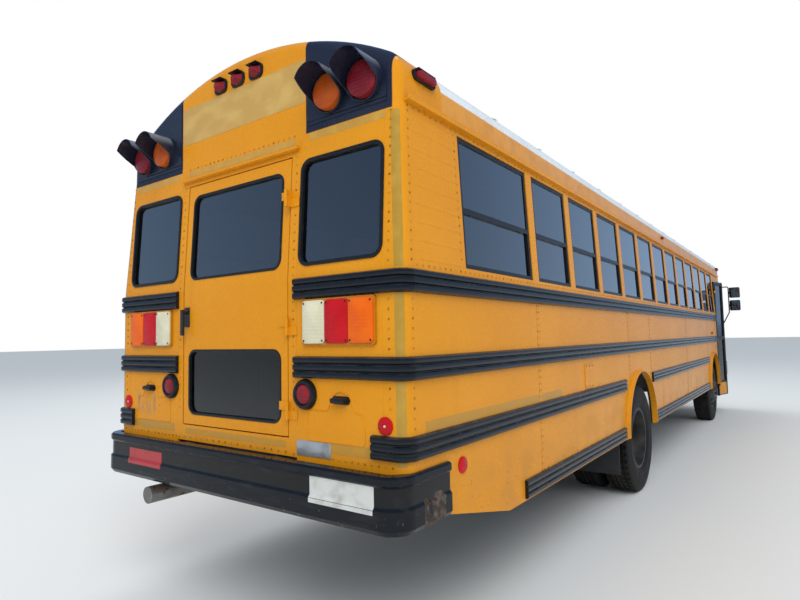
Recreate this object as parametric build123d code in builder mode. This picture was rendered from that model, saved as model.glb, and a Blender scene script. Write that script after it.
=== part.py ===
from build123d import *
import os
from math import atan2, cos, sin, sqrt

os.makedirs("parts", exist_ok=True)

# All sizes are in millimetres. The nose points along -Y, up is +Z and the driver sits on the +X side.
# The ground is at Z = 0 and the middle of the overall length and width is at X = Y = 0.

# Driving sizes of the body
overall_length = 11690
overall_width = 2438
roof_z = 3262
skirt_z = 600
cowl_z = 1480
belt_z = 1906
eave_z = 2700
wall = 40
corner_r = 60
lean_side = 40
lean_rear = 47
lean_front = 90
rail_proud = 22
rear_bumper_proud = 95
front_bumper_proud = 155
floor_over_axle = 558
floor_thick = 55
bow_depth = 36
running_gap = 0.3

# Driving sizes of the running gear
wheelbase = 5512
rear_overhang = 4130
tyre_r = 527
tyre_w = 279
rim_r = 286
dual_spacing = 337
front_track_half = 1030
frame_half = 432
frame_h = 254
frame_flange = 76
arch_gap = 48
arch_rise = 98
steer_max = 40

# Places worked out from the driving sizes
half_width = overall_width / 2 - rail_proud
rear_y = overall_length / 2 - rear_bumper_proud
front_y = -overall_length / 2 + front_bumper_proud
rear_axle_y = rear_y - rear_overhang
front_axle_y = rear_axle_y - wheelbase
body_mid_y = (rear_y + front_y) / 2
body_length = rear_y - front_y
axle_z = tyre_r
arch_r = tyre_r + arch_gap
arch_z = axle_z + arch_rise
floor_top = axle_z + floor_over_axle
floor_bottom = floor_top - floor_thick
frame_top = floor_bottom - bow_depth
frame_bottom = frame_top - frame_h
bow_pitch = 727
far = 8000


def save(part, label):
    part.label = label
    export_step(part, f"parts/{label}.step")


def cross_plane(y):
    # A plane across the bus at the station y, seen from behind: local x is X and local y is Z.
    return Plane(origin=(0, y, 0), x_dir=(1, 0, 0), z_dir=(0, -1, 0))


def rear_plane(y):
    # A plane across the bus whose normal points backwards: local x is -X and local y is Z.
    return Plane(origin=(0, y, 0), x_dir=(-1, 0, 0), z_dir=(0, 1, 0))


def long_plane(x):
    # A plane along the bus at the offset x: local x is Y and local y is Z.
    return Plane(origin=(x, 0, 0), x_dir=(0, 1, 0), z_dir=(1, 0, 0))


# Stations of the body's walls: height, then how far the side, nose and tail lean inwards there
cowl_share = (belt_z - cowl_z) / (eave_z - cowl_z)
body_stations = [
    (skirt_z, 0, 0, 0),
    (cowl_z, 0, 0, 0),
    (belt_z, 0, lean_front * cowl_share, 0),
    (eave_z, lean_side, lean_front, lean_rear),
]


def body_block(inset):
    # The body from skirt to eaves as a solid block, set in by the given amount.
    with BuildPart() as block:
        for lower, upper in zip(body_stations, body_stations[1:]):
            for z, side, nose, tail in (lower, upper):
                low_y = front_y + nose + inset
                high_y = rear_y - tail - inset
                wide = 2 * (half_width - side - inset)
                with BuildSketch(Plane.XY.offset(z)):
                    with Locations((0, (low_y + high_y) / 2)):
                        RectangleRounded(wide, high_y - low_y, corner_r - inset)
            loft(ruled=True)
    return block.part


# The roof's crown is one arc between two upper corners, which round down to the eaves
crown_half = half_width - lean_side - 7
crown_corner_z = 2921
crown_rise = roof_z - crown_corner_z
crown_r = (crown_half**2 + crown_rise**2) / (2 * crown_rise)
crown_centre_z = roof_z - crown_r
cove_r = 160
eave_half = half_width - lean_side


def crown_height(x, inset=0):
    return crown_centre_z + sqrt((crown_r - inset) ** 2 - x**2)


def roof_block(y_from, y_to, inset):
    # The roof's section between two stations as a solid, set in by the given amount.
    side_x = crown_half - inset
    side_z = crown_height(side_x, inset)
    with BuildPart() as block:
        with BuildSketch(cross_plane(y_to)) as section:
            with BuildLine():
                Polyline(
                    (-side_x, side_z),
                    (-eave_half + inset, eave_z),
                    (eave_half - inset, eave_z),
                    (side_x, side_z),
                )
                ThreePointArc((side_x, side_z), (0, roof_z - inset), (-side_x, side_z))
            make_face()
            fillet(section.vertices().group_by(Axis.Y)[-1], cove_r - inset)
        extrude(amount=y_to - y_from)
    return block


outer_block = body_block(0)
inner_block = body_block(wall)

# Side windows: one wide window at the rear, then one window in each bay as far as the door post
sill_z = 1948
head_z = 2668
post_w = 95
first_window_rear = rear_y - 568
first_post_y = rear_y - 1508
bays = 12
door_post_y = first_post_y - bays * bow_pitch
door_width = 760
door_rear_y = door_post_y - post_w / 2
door_front_y = door_rear_y - door_width
first_window_front = first_post_y + post_w / 2
windows = [((first_window_rear + first_window_front) / 2, first_window_rear - first_window_front)]
for bay in range(bays):
    windows.append((first_post_y - (bay + 0.5) * bow_pitch, bow_pitch - post_w))
driver_window = ((door_rear_y + door_front_y) / 2, door_width)

side_lean = atan2(lean_side, eave_z - belt_z)
side_mid_z = (belt_z + eave_z) / 2


def side_plane(side):
    # The leaning outer face of a side wall: local x is side * Y, local y runs up the slope.
    origin = (side * (half_width - lean_side / 2), 0, side_mid_z)
    return Plane(origin=origin, x_dir=(0, side, 0), z_dir=(side * cos(side_lean), 0, sin(side_lean)))


def up_side(z):
    return (z - side_mid_z) / cos(side_lean)


rear_lean = atan2(lean_rear, eave_z - belt_z)
rear_upper = Plane(
    origin=(0, rear_y - lean_rear / 2, side_mid_z),
    x_dir=(-1, 0, 0),
    z_dir=(0, cos(rear_lean), sin(rear_lean)),
)


def up_rear(z):
    return (z - side_mid_z) / cos(rear_lean)


front_lean = atan2(lean_front, eave_z - cowl_z)
screen_mid_z = (cowl_z + eave_z) / 2
front_upper = Plane(
    origin=(0, front_y + lean_front / 2, screen_mid_z),
    x_dir=(1, 0, 0),
    z_dir=(0, -cos(front_lean), sin(front_lean)),
)


def up_front(z):
    return (z - screen_mid_z) / cos(front_lean)


def rect(x0, x1, y0, y1, mode=Mode.ADD):
    with Locations(((x0 + x1) / 2, (y0 + y1) / 2)):
        Rectangle(abs(x1 - x0), abs(y1 - y0), mode=mode)


def box(x0, x1, y0, y1, z0, z1, mode=Mode.ADD):
    with Locations(((x0 + x1) / 2, (y0 + y1) / 2, (z0 + z1) / 2)):
        Box(abs(x1 - x0), abs(y1 - y0), abs(z1 - z0), mode=mode)


def arch_half(z):
    # Half the length of a wheel arch's opening at the height z.
    if z <= arch_z:
        return arch_r
    return sqrt(max(0, arch_r**2 - (z - arch_z) ** 2))


def arch_outline(y, radius, bottom_z):
    # The arch's outline on a plane along the bus, with straight legs down to bottom_z.
    with Locations((y, arch_z)):
        Circle(radius)
    rect(y - radius, y + radius, bottom_z, arch_z)
    rect(y - radius, y + radius, bottom_z - 2 * radius, bottom_z, mode=Mode.SUBTRACT)


# Side walls, from the skirt to the eaves, with their windows, wheel arches and flared arch lips
corner_len = 125
nose_len = 190
lip_w = 22
lip_proud = 38
lip_taper = 20
door_sill_z = 375
door_head_z = 2562
tail_sweep_y = rear_y - 1000
bumper_wrap = 330
rear_bumper_z = 752
rear_bumper_h = 250
side_rear_y = rear_y - corner_len
side_front_y = front_y + nose_len


def side_wall(side):
    with BuildPart() as panel:
        add(outer_block)
        add(inner_block, mode=Mode.SUBTRACT)
        box(0, side * far, side_front_y, side_rear_y, 0, far, mode=Mode.INTERSECT)
        for y in (front_axle_y, rear_axle_y):
            with BuildSketch(long_plane(side * half_width)):
                arch_outline(y, arch_r + lip_w, skirt_z)
            extrude(amount=side * lip_proud, taper=lip_taper)
        for y in (front_axle_y, rear_axle_y):
            with BuildSketch(long_plane(side * (half_width - 2 * wall))):
                arch_outline(y, arch_r, skirt_z - wall)
            extrude(amount=side * 4 * wall, mode=Mode.SUBTRACT)
        # The skirt rises in a straight line to the end of the rear bumper
        with BuildSketch(long_plane(0)):
            with BuildLine():
                Polyline(
                    (tail_sweep_y, skirt_z - wall),
                    (tail_sweep_y, skirt_z),
                    (rear_y - bumper_wrap, rear_bumper_z),
                    (rear_y, rear_bumper_z),
                    (rear_y, skirt_z - wall),
                    close=True,
                )
            make_face()
        extrude(amount=side * far, mode=Mode.SUBTRACT)
        openings = windows + ([driver_window] if side > 0 else [])
        with BuildSketch(side_plane(side)):
            for y, width in openings:
                with Locations((side * y, (up_side(sill_z) + up_side(head_z)) / 2)):
                    Rectangle(width, up_side(head_z) - up_side(sill_z))
        extrude(amount=2 * wall, both=True, mode=Mode.SUBTRACT)
        if side < 0:
            box(0, side * far, door_front_y, door_rear_y, 0, door_head_z, mode=Mode.SUBTRACT)
    return panel.part


for side, label in ((1, "left_side_wall"), (-1, "right_side_wall")):
    save(side_wall(side), label)

# Rear emergency door: its leaf, its two windows and the rear wall's two windows, mirrored about X = 0
door_half = 456
door_gap = 7
door_latch_gap = 13
leaf_bottom_z = 1103
leaf_top_z = 2554
leaf_thick = 32
leaf_r = 30
rear_window = (545, 1068, 1975, 2515)
door_upper_window = (-397, 397, 1970, 2482)
door_lower_window = (-400, 400, 1168, 1538)
window_r = 55
glass_thick = 6
tail_low_z = frame_top + 11
tail_notch_half = 520

# Four holes for a number plate on the rear wall and on the front bumper
plate_x = 808
plate_z = 1256
plate_dx = 178
plate_dz = 120
plate_hole_r = 4

with BuildPart() as rear_wall:
    add(outer_block)
    add(inner_block, mode=Mode.SUBTRACT)
    box(-far, far, side_rear_y, far, rear_bumper_z, far, mode=Mode.INTERSECT)
    box(-tail_notch_half, tail_notch_half, 0, far, 0, tail_low_z, mode=Mode.SUBTRACT)
    opening = (-door_half - door_gap, door_half + door_latch_gap)
    box(opening[0], opening[1], 0, far, leaf_bottom_z - door_gap, leaf_top_z + door_gap, mode=Mode.SUBTRACT)
    x0, x1, z0, z1 = rear_window
    with BuildSketch(rear_upper):
        with Locations(((x0 + x1) / 2, (up_rear(z0) + up_rear(z1)) / 2)):
            RectangleRounded(x1 - x0, up_rear(z1) - up_rear(z0), window_r)
        mirror(about=Plane.YZ)
    extrude(amount=2 * wall, both=True, mode=Mode.SUBTRACT)
    with BuildSketch(rear_plane(rear_y)):
        with Locations((-plate_x, plate_z)):
            with GridLocations(plate_dx, plate_dz, 2, 2):
                Circle(plate_hole_r)
    extrude(amount=-2 * wall, mode=Mode.SUBTRACT)
save(rear_wall.part, "rear_wall")

with BuildPart() as rear_emergency_door:
    add(outer_block)
    add(body_block(leaf_thick), mode=Mode.SUBTRACT)
    box(-door_half, door_half, side_rear_y, far, leaf_bottom_z, leaf_top_z, mode=Mode.INTERSECT)
    x0, x1, z0, z1 = door_upper_window
    with BuildSketch(rear_upper):
        with Locations(((x0 + x1) / 2, (up_rear(z0) + up_rear(z1)) / 2)):
            RectangleRounded(x1 - x0, up_rear(z1) - up_rear(z0), window_r)
    extrude(amount=2 * wall, both=True, mode=Mode.SUBTRACT)
    x0, x1, z0, z1 = door_lower_window
    with BuildSketch(rear_plane(rear_y)):
        with Locations(((x0 + x1) / 2, (z0 + z1) / 2)):
            RectangleRounded(x1 - x0, z1 - z0, window_r)
    extrude(amount=2 * wall, both=True, mode=Mode.SUBTRACT)
# Hinges on the kerb side: knuckles on one upright line outside the wall, in pairs of straps
hinge_x = -door_half - 10
hinge_out = 16
hinge_r = 9
hinge_h = 44
hinge_y = rear_y + hinge_out
hinge_strap = 62
hinge_heights = (1235, 1660, 2330)


def tail_face_y(z):
    return rear_y - max(0, z - belt_z) / (eave_z - belt_z) * lean_rear


with BuildPart() as door_hinges:
    for z in hinge_heights:
        low = z - hinge_h - running_gap / 2
        deep_y = tail_face_y(z + 40) - 1
        with Locations((hinge_x, hinge_y, low + hinge_h / 2)):
            Cylinder(hinge_r, hinge_h)
        box(hinge_x - hinge_strap, hinge_x, deep_y, tail_face_y(low) + 5, low, low + hinge_h)
        box(hinge_x - hinge_r, hinge_x, deep_y, hinge_y, low, low + hinge_h)
    add(outer_block, mode=Mode.SUBTRACT)
with BuildPart() as leaf_hinges:
    for z in hinge_heights:
        low = z + running_gap / 2
        deep_y = tail_face_y(z + hinge_h + 40) - 1
        with Locations((hinge_x, hinge_y, low + hinge_h / 2)):
            Cylinder(hinge_r, hinge_h)
        box(hinge_x, hinge_x + hinge_strap + 8, deep_y, tail_face_y(low) + 5, low, low + hinge_h)
        box(hinge_x, hinge_x + hinge_r, deep_y, hinge_y, low, low + hinge_h)
    add(outer_block, mode=Mode.SUBTRACT)

with BuildPart() as hinged_door:
    add(rear_emergency_door.part)
    add(leaf_hinges.part)
save(hinged_door.part, "rear_emergency_door")

with BuildPart() as rear_door_glass:
    x0, x1, z0, z1 = door_upper_window
    with BuildSketch(rear_upper.offset(-leaf_thick / 2 - glass_thick / 2)):
        with Locations(((x0 + x1) / 2, (up_rear(z0) + up_rear(z1)) / 2)):
            RectangleRounded(x1 - x0, up_rear(z1) - up_rear(z0), window_r)
    extrude(amount=glass_thick)
    x0, x1, z0, z1 = door_lower_window
    with BuildSketch(rear_plane(rear_y - leaf_thick / 2 - glass_thick / 2)):
        with Locations(((x0 + x1) / 2, (z0 + z1) / 2)):
            RectangleRounded(x1 - x0, z1 - z0, window_r)
    extrude(amount=glass_thick)
save(rear_door_glass.part, "rear_door_glass")

# The door's outside handle: a plate on the leaf and a bar that stands off it
handle_x = 424
handle_z = 1714
with BuildPart() as rear_door_handle:
    box(handle_x - 24, handle_x + 24, rear_y, rear_y + 5, handle_z - 32, handle_z + 86)
    with Locations(Location((handle_x, rear_y, handle_z + 58), (-90, 0, 0))):
        Cylinder(13, 40, align=(Align.CENTER, Align.CENTER, Align.MIN))
    box(handle_x - 12, handle_x + 12, rear_y + 28, rear_y + 42, handle_z - 84, handle_z + 72)
    fillet(rear_door_handle.edges().filter_by(Axis.X).group_by(Axis.Y)[-1], 5)
save(rear_door_handle.part, "rear_door_handle")

# Front wall with its two windscreen openings, the headlamps' sockets and the grille's opening
screen = (22, 1085, 1560, 2560)
grille_half = 400
grille_z0 = frame_top + 26
grille_z1 = 1284
front_notch_half = 520
headlamp_x = 900
headlamp_z = 1180
headlamp_r = 92
with BuildPart() as front_wall:
    add(outer_block)
    add(inner_block, mode=Mode.SUBTRACT)
    box(-far, far, -far, side_front_y, skirt_z, far, mode=Mode.INTERSECT)
    box(-front_notch_half, front_notch_half, -far, 0, 0, frame_top + 6, mode=Mode.SUBTRACT)
    box(-grille_half, grille_half, -far, 0, grille_z0, grille_z1, mode=Mode.SUBTRACT)
    x0, x1, z0, z1 = screen
    with BuildSketch(front_upper):
        with Locations(((x0 + x1) / 2, (up_front(z0) + up_front(z1)) / 2)):
            RectangleRounded(x1 - x0, up_front(z1) - up_front(z0), window_r)
        mirror(about=Plane.YZ)
    extrude(amount=2 * wall, both=True, mode=Mode.SUBTRACT)
save(front_wall.part, "front_wall")

# Grille: a frame in the nose's opening with level slats
slats = 8
with BuildPart() as front_grille:
    with BuildSketch(Plane(origin=(0, front_y + 8, 0), x_dir=(1, 0, 0), z_dir=(0, -1, 0))):
        rect(-grille_half, grille_half, grille_z0, grille_z1)
        rect(-grille_half + 18, grille_half - 18, grille_z0 + 18, grille_z1 - 18, mode=Mode.SUBTRACT)
        pitch = (grille_z1 - grille_z0 - 36) / slats
        for i in range(slats):
            z = grille_z0 + 18 + (i + 0.5) * pitch
            rect(-grille_half + 10, grille_half - 10, z - 9, z + 9)
    extrude(amount=-24)
save(front_grille.part, "front_grille")

# Roof panel with its two escape hatches, and the two end caps with rounded outer edges
cap_len = 430
hatch_ys = (rear_y - 3300, front_y + 3300)
hatch_size = 600
hatch_curb = 34
hatch_curb_h = 22
hatch_top_z = roof_z + hatch_curb_h
roof_rear_y = rear_y - cap_len
roof_front_y = front_y + cap_len
with BuildPart() as roof_panel:
    add(roof_block(roof_front_y, roof_rear_y, 0).part)
    add(roof_block(roof_front_y, roof_rear_y, wall).part, mode=Mode.SUBTRACT)
    for y in hatch_ys:
        outer = hatch_size / 2 + hatch_curb
        box(-outer, outer, y - outer, y + outer, crown_height(outer, wall), hatch_top_z)
        with BuildSketch(Plane.XY.offset(crown_height(outer, wall) - wall)):
            with Locations((0, y)):
                RectangleRounded(hatch_size, hatch_size, window_r)
        extrude(amount=far, mode=Mode.SUBTRACT)
save(roof_panel.part, "roof_panel")


def roof_cap(y_face, y_seam):
    # An end cap from its outer face to the seam, hollow on the inside and open below.
    def rounded(inset):
        inward = inset if y_face > y_seam else -inset
        low, high = sorted((y_seam, y_face - inward))
        with BuildPart() as block:
            add(roof_block(low, high, inset).part)
            end_edges = block.edges().group_by(Axis.Y)[-1 if y_face > y_seam else 0]
            fillet(end_edges.filter_by(lambda edge: edge.center().Z > eave_z + 1), corner_r - inset)
        return block.part

    with BuildPart() as cap:
        add(rounded(0))
        add(rounded(wall), mode=Mode.SUBTRACT)
    return cap.part


cap_rear_y = rear_y - lean_rear
cap_front_y = front_y + lean_front
save(roof_cap(cap_rear_y, roof_rear_y), "rear_roof_cap")
save(roof_cap(cap_front_y, roof_front_y), "front_roof_cap")

# Hatch lids, hinged at their front edge, with a rim outside the curb and a domed top
lid_over = 14
lid_thick = 26
lid_half = hatch_size / 2 + hatch_curb + lid_over
lid_skirt = 16
lid_gap = 6
for y, label in zip(hatch_ys, ("rear_roof_hatch", "front_roof_hatch")):
    with BuildPart() as lid:
        with BuildSketch(Plane.XY.offset(hatch_top_z - lid_skirt)):
            with Locations((0, y)):
                RectangleRounded(2 * lid_half, 2 * lid_half, window_r)
        extrude(amount=lid_skirt + lid_thick, taper=6)
        outer = hatch_size / 2 + hatch_curb + lid_gap
        box(-outer, outer, y - outer, y + outer, 0, hatch_top_z + running_gap, mode=Mode.SUBTRACT)
        fillet(lid.faces().sort_by(Axis.Z)[-1].edges(), 8)
    save(lid.part, label)

# Sashes of the side windows: a ring in each opening with a meeting rail
sash_w = 26
sash_inset = 6
sash_depth = 28
meeting_z = 2266
meeting_h = 30
with BuildPart() as window_sashes:
    for side in (1, -1):
        openings = windows + ([driver_window] if side > 0 else [])
        with BuildSketch(side_plane(side).offset(-sash_inset - sash_depth)):
            low = up_side(sill_z)
            high = up_side(head_z)
            meet = up_side(meeting_z)
            for y, width in openings:
                centre = side * y
                rect(centre - width / 2, centre + width / 2, low, high)
                inner = width / 2 - sash_w
                rect(centre - inner, centre + inner, low + sash_w, meet - meeting_h / 2, mode=Mode.SUBTRACT)
                rect(centre - inner, centre + inner, meet + meeting_h / 2, high - sash_w, mode=Mode.SUBTRACT)
        extrude(amount=sash_depth)
save(window_sashes.part, "window_sashes")

# Fixed and sliding panes of the body: two in each side window, two at the rear, two windscreens
with BuildPart() as window_glass:
    for side in (1, -1):
        openings = windows + ([driver_window] if side > 0 else [])
        low = up_side(sill_z)
        high = up_side(head_z)
        meet = up_side(meeting_z)
        for bottom, top, depth in (
            (low + sash_w, meet - meeting_h / 2, 26),
            (meet + meeting_h / 2, high - sash_w, 18),
        ):
            with BuildSketch(side_plane(side).offset(-depth)):
                for y, width in openings:
                    inner = width / 2 - sash_w
                    rect(side * y - inner, side * y + inner, bottom, top)
            extrude(amount=glass_thick)
    x0, x1, z0, z1 = rear_window
    with BuildSketch(rear_upper.offset(-wall / 2)):
        with Locations(((x0 + x1) / 2, (up_rear(z0) + up_rear(z1)) / 2)):
            RectangleRounded(x1 - x0, up_rear(z1) - up_rear(z0), window_r)
        mirror(about=Plane.YZ)
    extrude(amount=glass_thick)
    x0, x1, z0, z1 = screen
    with BuildSketch(front_upper.offset(-wall / 2)):
        with Locations(((x0 + x1) / 2, (up_front(z0) + up_front(z1)) / 2)):
            RectangleRounded(x1 - x0, up_front(z1) - up_front(z0), window_r)
        mirror(about=Plane.YZ)
    extrude(amount=glass_thick)
save(window_glass.part, "window_glass")

# Rub rails: a pressed rail with three ribs that wraps round the rear corner.
# Columns: middle height, inner end on the rear, distance from the axles to its ends or None
rail_h = 110
rib_pitch = 36
rib_root = 13
rails = [
    (belt_z - 56, 514, None),
    (floor_top + 370, 514, None),
    (floor_top + 19, 1010, arch_r - 15),
]
skirt_rail_z = skirt_z + 68
skirt_rail_gap = arch_r + lip_w + 43
skirt_rail_rear = rear_y - 1214


def rail_section():
    # The rail's section with local x outwards and local y up, its back on the wall.
    points = [(0, -rail_h / 2)]
    for rib in (-1, 0, 1):
        middle = rib * rib_pitch
        points += [
            (rib_root, middle - 17),
            (rail_proud, middle - 11),
            (rail_proud, middle + 11),
            (rib_root, middle + 17),
        ]
    points.append((0, rail_h / 2))
    Polygon(*points)


# Columns: middle height, rear end, front end, inner end round the corner or None when straight
left_rail_front = front_y + corner_r + 10
right_rail_front = door_post_y + 4
with BuildPart() as rub_rails:
    for side in (1, -1):
        rail_front = left_rail_front if side > 0 else right_rail_front
        runs = []
        for z, x_inner, at_arch in rails:
            if at_arch:
                runs.append((z, rear_y, rear_axle_y + at_arch, x_inner))
                runs.append((z, rear_axle_y - at_arch, front_axle_y + at_arch, None))
                if side > 0:
                    runs.append((z, front_axle_y - at_arch, rail_front, None))
            else:
                runs.append((z, rear_y, rail_front, x_inner))
        runs.append((skirt_rail_z, skirt_rail_rear, rear_axle_y + skirt_rail_gap, None))
        runs.append((skirt_rail_z, rear_axle_y - skirt_rail_gap, front_axle_y + skirt_rail_gap, None))
        for z, y_rear_end, y_front_end, x_inner in runs:
            start = (side * half_width, y_front_end, z)
            with BuildLine(mode=Mode.PRIVATE) as path:
                if x_inner is None:
                    Line(start, (side * half_width, y_rear_end, z))
                else:
                    FilletPolyline(
                        start,
                        (side * half_width, y_rear_end, z),
                        (side * x_inner, y_rear_end, z),
                        radius=corner_r,
                    )
            with BuildSketch(Plane(origin=start, x_dir=(side, 0, 0), z_dir=(0, side, 0))):
                rail_section()
            sweep(path=path.line)
save(rub_rails.part, "rub_rails")

# Drip rails over the side windows: a small gutter section along the eaves
gutter_out = 26
gutter_h = 30
with BuildPart() as drip_rails:
    for side in (1, -1):
        with BuildSketch(cross_plane(rear_y - 90)):
            with BuildLine():
                Polyline(
                    (side * (eave_half + 0.5), eave_z - 2),
                    (side * (eave_half + gutter_out), eave_z + 4),
                    (side * (eave_half + gutter_out), eave_z + gutter_h),
                    (side * (eave_half + gutter_out - 5), eave_z + gutter_h),
                    (side * (eave_half + gutter_out - 7), eave_z + 10),
                    (side * (eave_half - 0.5), eave_z + 8),
                    close=True,
                )
            make_face()
        extrude(amount=body_length - 90 - 300)
    add(outer_block, mode=Mode.SUBTRACT)
    add(roof_block(front_y + 200, rear_y, 0).part, mode=Mode.SUBTRACT)
    with BuildSketch(rear_plane(cap_rear_y)):
        rect(-door_half - 60, door_half + 60, 2592, 2606)
    extrude(amount=30)
    add(outer_block, mode=Mode.SUBTRACT)
save(drip_rails.part, "drip_rails")

# Bumpers: a pressed section swept round the corners. The rear one has a sunk band, the front one is flat.
# Columns of the sections: how far in from the face, height as a share of the bumper's
bumper_depth = 58
rear_bumper_section = [
    (bumper_depth, 0),
    (16, 0),
    (0, 0.09),
    (0, 0.42),
    (11, 0.47),
    (11, 0.8),
    (0, 0.85),
    (0, 0.96),
    (10, 1),
    (bumper_depth, 1),
]
front_bumper_section = [
    (bumper_depth, 0),
    (16, 0),
    (0, 0.09),
    (0, 0.91),
    (16, 1),
    (bumper_depth, 1),
]
bumper_thick = 8
bumper_half = half_width + 24
bumper_corner = 120


def bumper(section, face_y, inward, z0, height):
    # A bumper whose outer face is at face_y; inward is -1 at the rear and 1 at the front.
    body_end = rear_y if inward < 0 else front_y
    end_y = body_end + inward * bumper_wrap
    with BuildLine() as path:
        FilletPolyline(
            (bumper_half, end_y, z0),
            (bumper_half, face_y, z0),
            (-bumper_half, face_y, z0),
            (-bumper_half, end_y, z0),
            radius=bumper_corner,
        )
    outer = [(-inset, share * height) for inset, share in section]
    inner = []
    for inset, share in reversed(section[1:-1]):
        z = min(max(share * height, bumper_thick), height - bumper_thick)
        inner.append((-inset - bumper_thick, z))
    inner = [(-bumper_depth, height - bumper_thick)] + inner + [(-bumper_depth, bumper_thick)]
    with BuildPart() as channel:
        with BuildSketch(Plane(origin=(bumper_half, end_y, z0), x_dir=(1, 0, 0), z_dir=(0, -inward, 0))):
            flip = 1 if inward > 0 else -1
            Polygon(*[(x, flip * z) for x, z in outer + inner])
        sweep(path=path.wire())
        add(body_block(-running_gap), mode=Mode.SUBTRACT)
    return channel.part


front_bumper_z = 690
front_bumper_h = 300
rear_bumper = bumper(rear_bumper_section, overall_length / 2, -1, rear_bumper_z, rear_bumper_h)
save(rear_bumper, "rear_bumper")
with BuildPart() as front_bumper:
    add(bumper(front_bumper_section, -overall_length / 2, 1, front_bumper_z, front_bumper_h))
    with BuildSketch(cross_plane(-overall_length / 2 + 3 * wall)):
        with Locations((0, front_bumper_z + front_bumper_h / 2)):
            with GridLocations(plate_dx, plate_dz, 2, 2):
                Circle(plate_hole_r)
    extrude(amount=6 * wall, mode=Mode.SUBTRACT)
save(front_bumper.part, "front_bumper")

# Rear lamps. Columns of lamp_rows: node colour, half spacing, height, lens width, lens height, proud
tail_lens_w = 150
tail_lens_h = 200
tail_z = 1678
tail_lenses = [("clear", 660), ("red", 811), ("amber", 962)]
bezel_w = 466
bezel_h = 228
bezel_thick = 14
tail_lens_proud = 20
round_x = 586
round_z = 1321
round_lens_r = 50
round_ring_r = 73
warning_z = 2833
warning_xs = (738, 967)
warning_r = 92
hood_r = 104
hood_len = 165
board_thick = 4
marker_xs = (-160, 0, 160)
marker_z = 3112

with BuildPart() as tail_lamp_bezels:
    with BuildSketch(rear_plane(rear_y)):
        for side in (1, -1):
            with Locations((side * 811, tail_z)):
                RectangleRounded(bezel_w, bezel_h, 16)
            for colour, x in tail_lenses:
                with Locations((side * x, tail_z)):
                    Rectangle(tail_lens_w - 8, tail_lens_h, mode=Mode.SUBTRACT)
            with Locations((side * round_x, round_z)):
                Circle(round_ring_r)
                Circle(round_lens_r, mode=Mode.SUBTRACT)
    extrude(amount=bezel_thick)

# Warning lamp boards follow the roof's outline, with a deep hood over each lamp
board_x0 = 566
board_x1 = 1092
board_z0 = 2704
board_margin = 62


def warning_boards(plane_at, y_face, out):
    with BuildPart() as boards:
        with BuildSketch(plane_at(y_face)) as outline:
            for side in (1, -1):
                rect(side * board_x0, side * board_x1, board_z0, roof_z)
            side_x = crown_half - board_margin
            side_z = crown_height(side_x, board_margin)
            with BuildLine():
                Polyline((-side_x, side_z), (-side_x, eave_z), (side_x, eave_z), (side_x, side_z))
                ThreePointArc((side_x, side_z), (0, roof_z - board_margin), (-side_x, side_z))
            make_face(mode=Mode.INTERSECT)
        extrude(amount=board_thick)
        with BuildSketch(plane_at(y_face + out * board_thick)):
            for side in (1, -1):
                for x in warning_xs:
                    with Locations((side * x, warning_z)):
                        Circle(hood_r)
                        Circle(hood_r - 4, mode=Mode.SUBTRACT)
        extrude(amount=hood_len)
        # The hoods are open below and rise towards their tips
        root_y = y_face + out * board_thick
        with BuildSketch(long_plane(-far / 2)):
            with BuildLine():
                Polyline(
                    (root_y + out * 12, warning_z - 2 * hood_r),
                    (root_y + out * 12, warning_z - hood_r),
                    (root_y + out * 40, warning_z - 30),
                    (root_y + out * (hood_len + 10), warning_z + 52),
                    (root_y + out * (hood_len + 10), warning_z - 2 * hood_r),
                    close=True,
                )
            make_face()
        extrude(amount=far, mode=Mode.SUBTRACT)
    return boards.part


def front_face_plane(y):
    return Plane(origin=(0, y, 0), x_dir=(1, 0, 0), z_dir=(0, -1, 0))


lamp_ends = ((rear_plane, cap_rear_y, 1), (front_face_plane, cap_front_y, -1))
with BuildPart() as lamp_housings:
    add(tail_lamp_bezels.part)
    for plane_at, y_face, out in lamp_ends:
        add(warning_boards(plane_at, y_face, out))
save(lamp_housings.part, "lamp_housings")


with BuildPart() as red_lamp_lenses:
    for plane_at, y_face, out in lamp_ends:
        with BuildSketch(plane_at(y_face + out * board_thick)):
            for side in (1, -1):
                with Locations((side * warning_xs[1], warning_z)):
                    Circle(warning_r)
        extrude(amount=30)
    with BuildSketch(rear_plane(rear_y)):
        for side in (1, -1):
            with Locations((side * tail_lenses[1][1], tail_z)):
                Rectangle(tail_lens_w - 8, tail_lens_h)
            with Locations((side * round_x, round_z)):
                Circle(round_lens_r)
    extrude(amount=tail_lens_proud)
    with BuildSketch(rear_plane(cap_rear_y)):
        for x in marker_xs:
            with Locations((x, marker_z)):
                RectangleRounded(104, 46, 14)
    extrude(amount=36)
save(red_lamp_lenses.part, "red_lamp_lenses")

with BuildPart() as amber_lamp_lenses:
    for plane_at, y_face, out in lamp_ends:
        with BuildSketch(plane_at(y_face + out * board_thick)):
            for side in (1, -1):
                with Locations((side * warning_xs[0], warning_z)):
                    Circle(warning_r)
        extrude(amount=30)
    with BuildSketch(rear_plane(rear_y)):
        for side in (1, -1):
            with Locations((side * tail_lenses[2][1], tail_z)):
                Rectangle(tail_lens_w - 8, tail_lens_h)
    extrude(amount=tail_lens_proud)
    with BuildSketch(front_face_plane(cap_front_y)):
        for x in marker_xs:
            with Locations((x, marker_z)):
                RectangleRounded(104, 46, 14)
    extrude(amount=36)
    with BuildSketch(front_face_plane(front_y)):
        for side in (1, -1):
            with Locations((side * 1080, headlamp_z)):
                RectangleRounded(80, 180, 14)
    extrude(amount=22)
save(amber_lamp_lenses.part, "amber_lamp_lenses")

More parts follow.
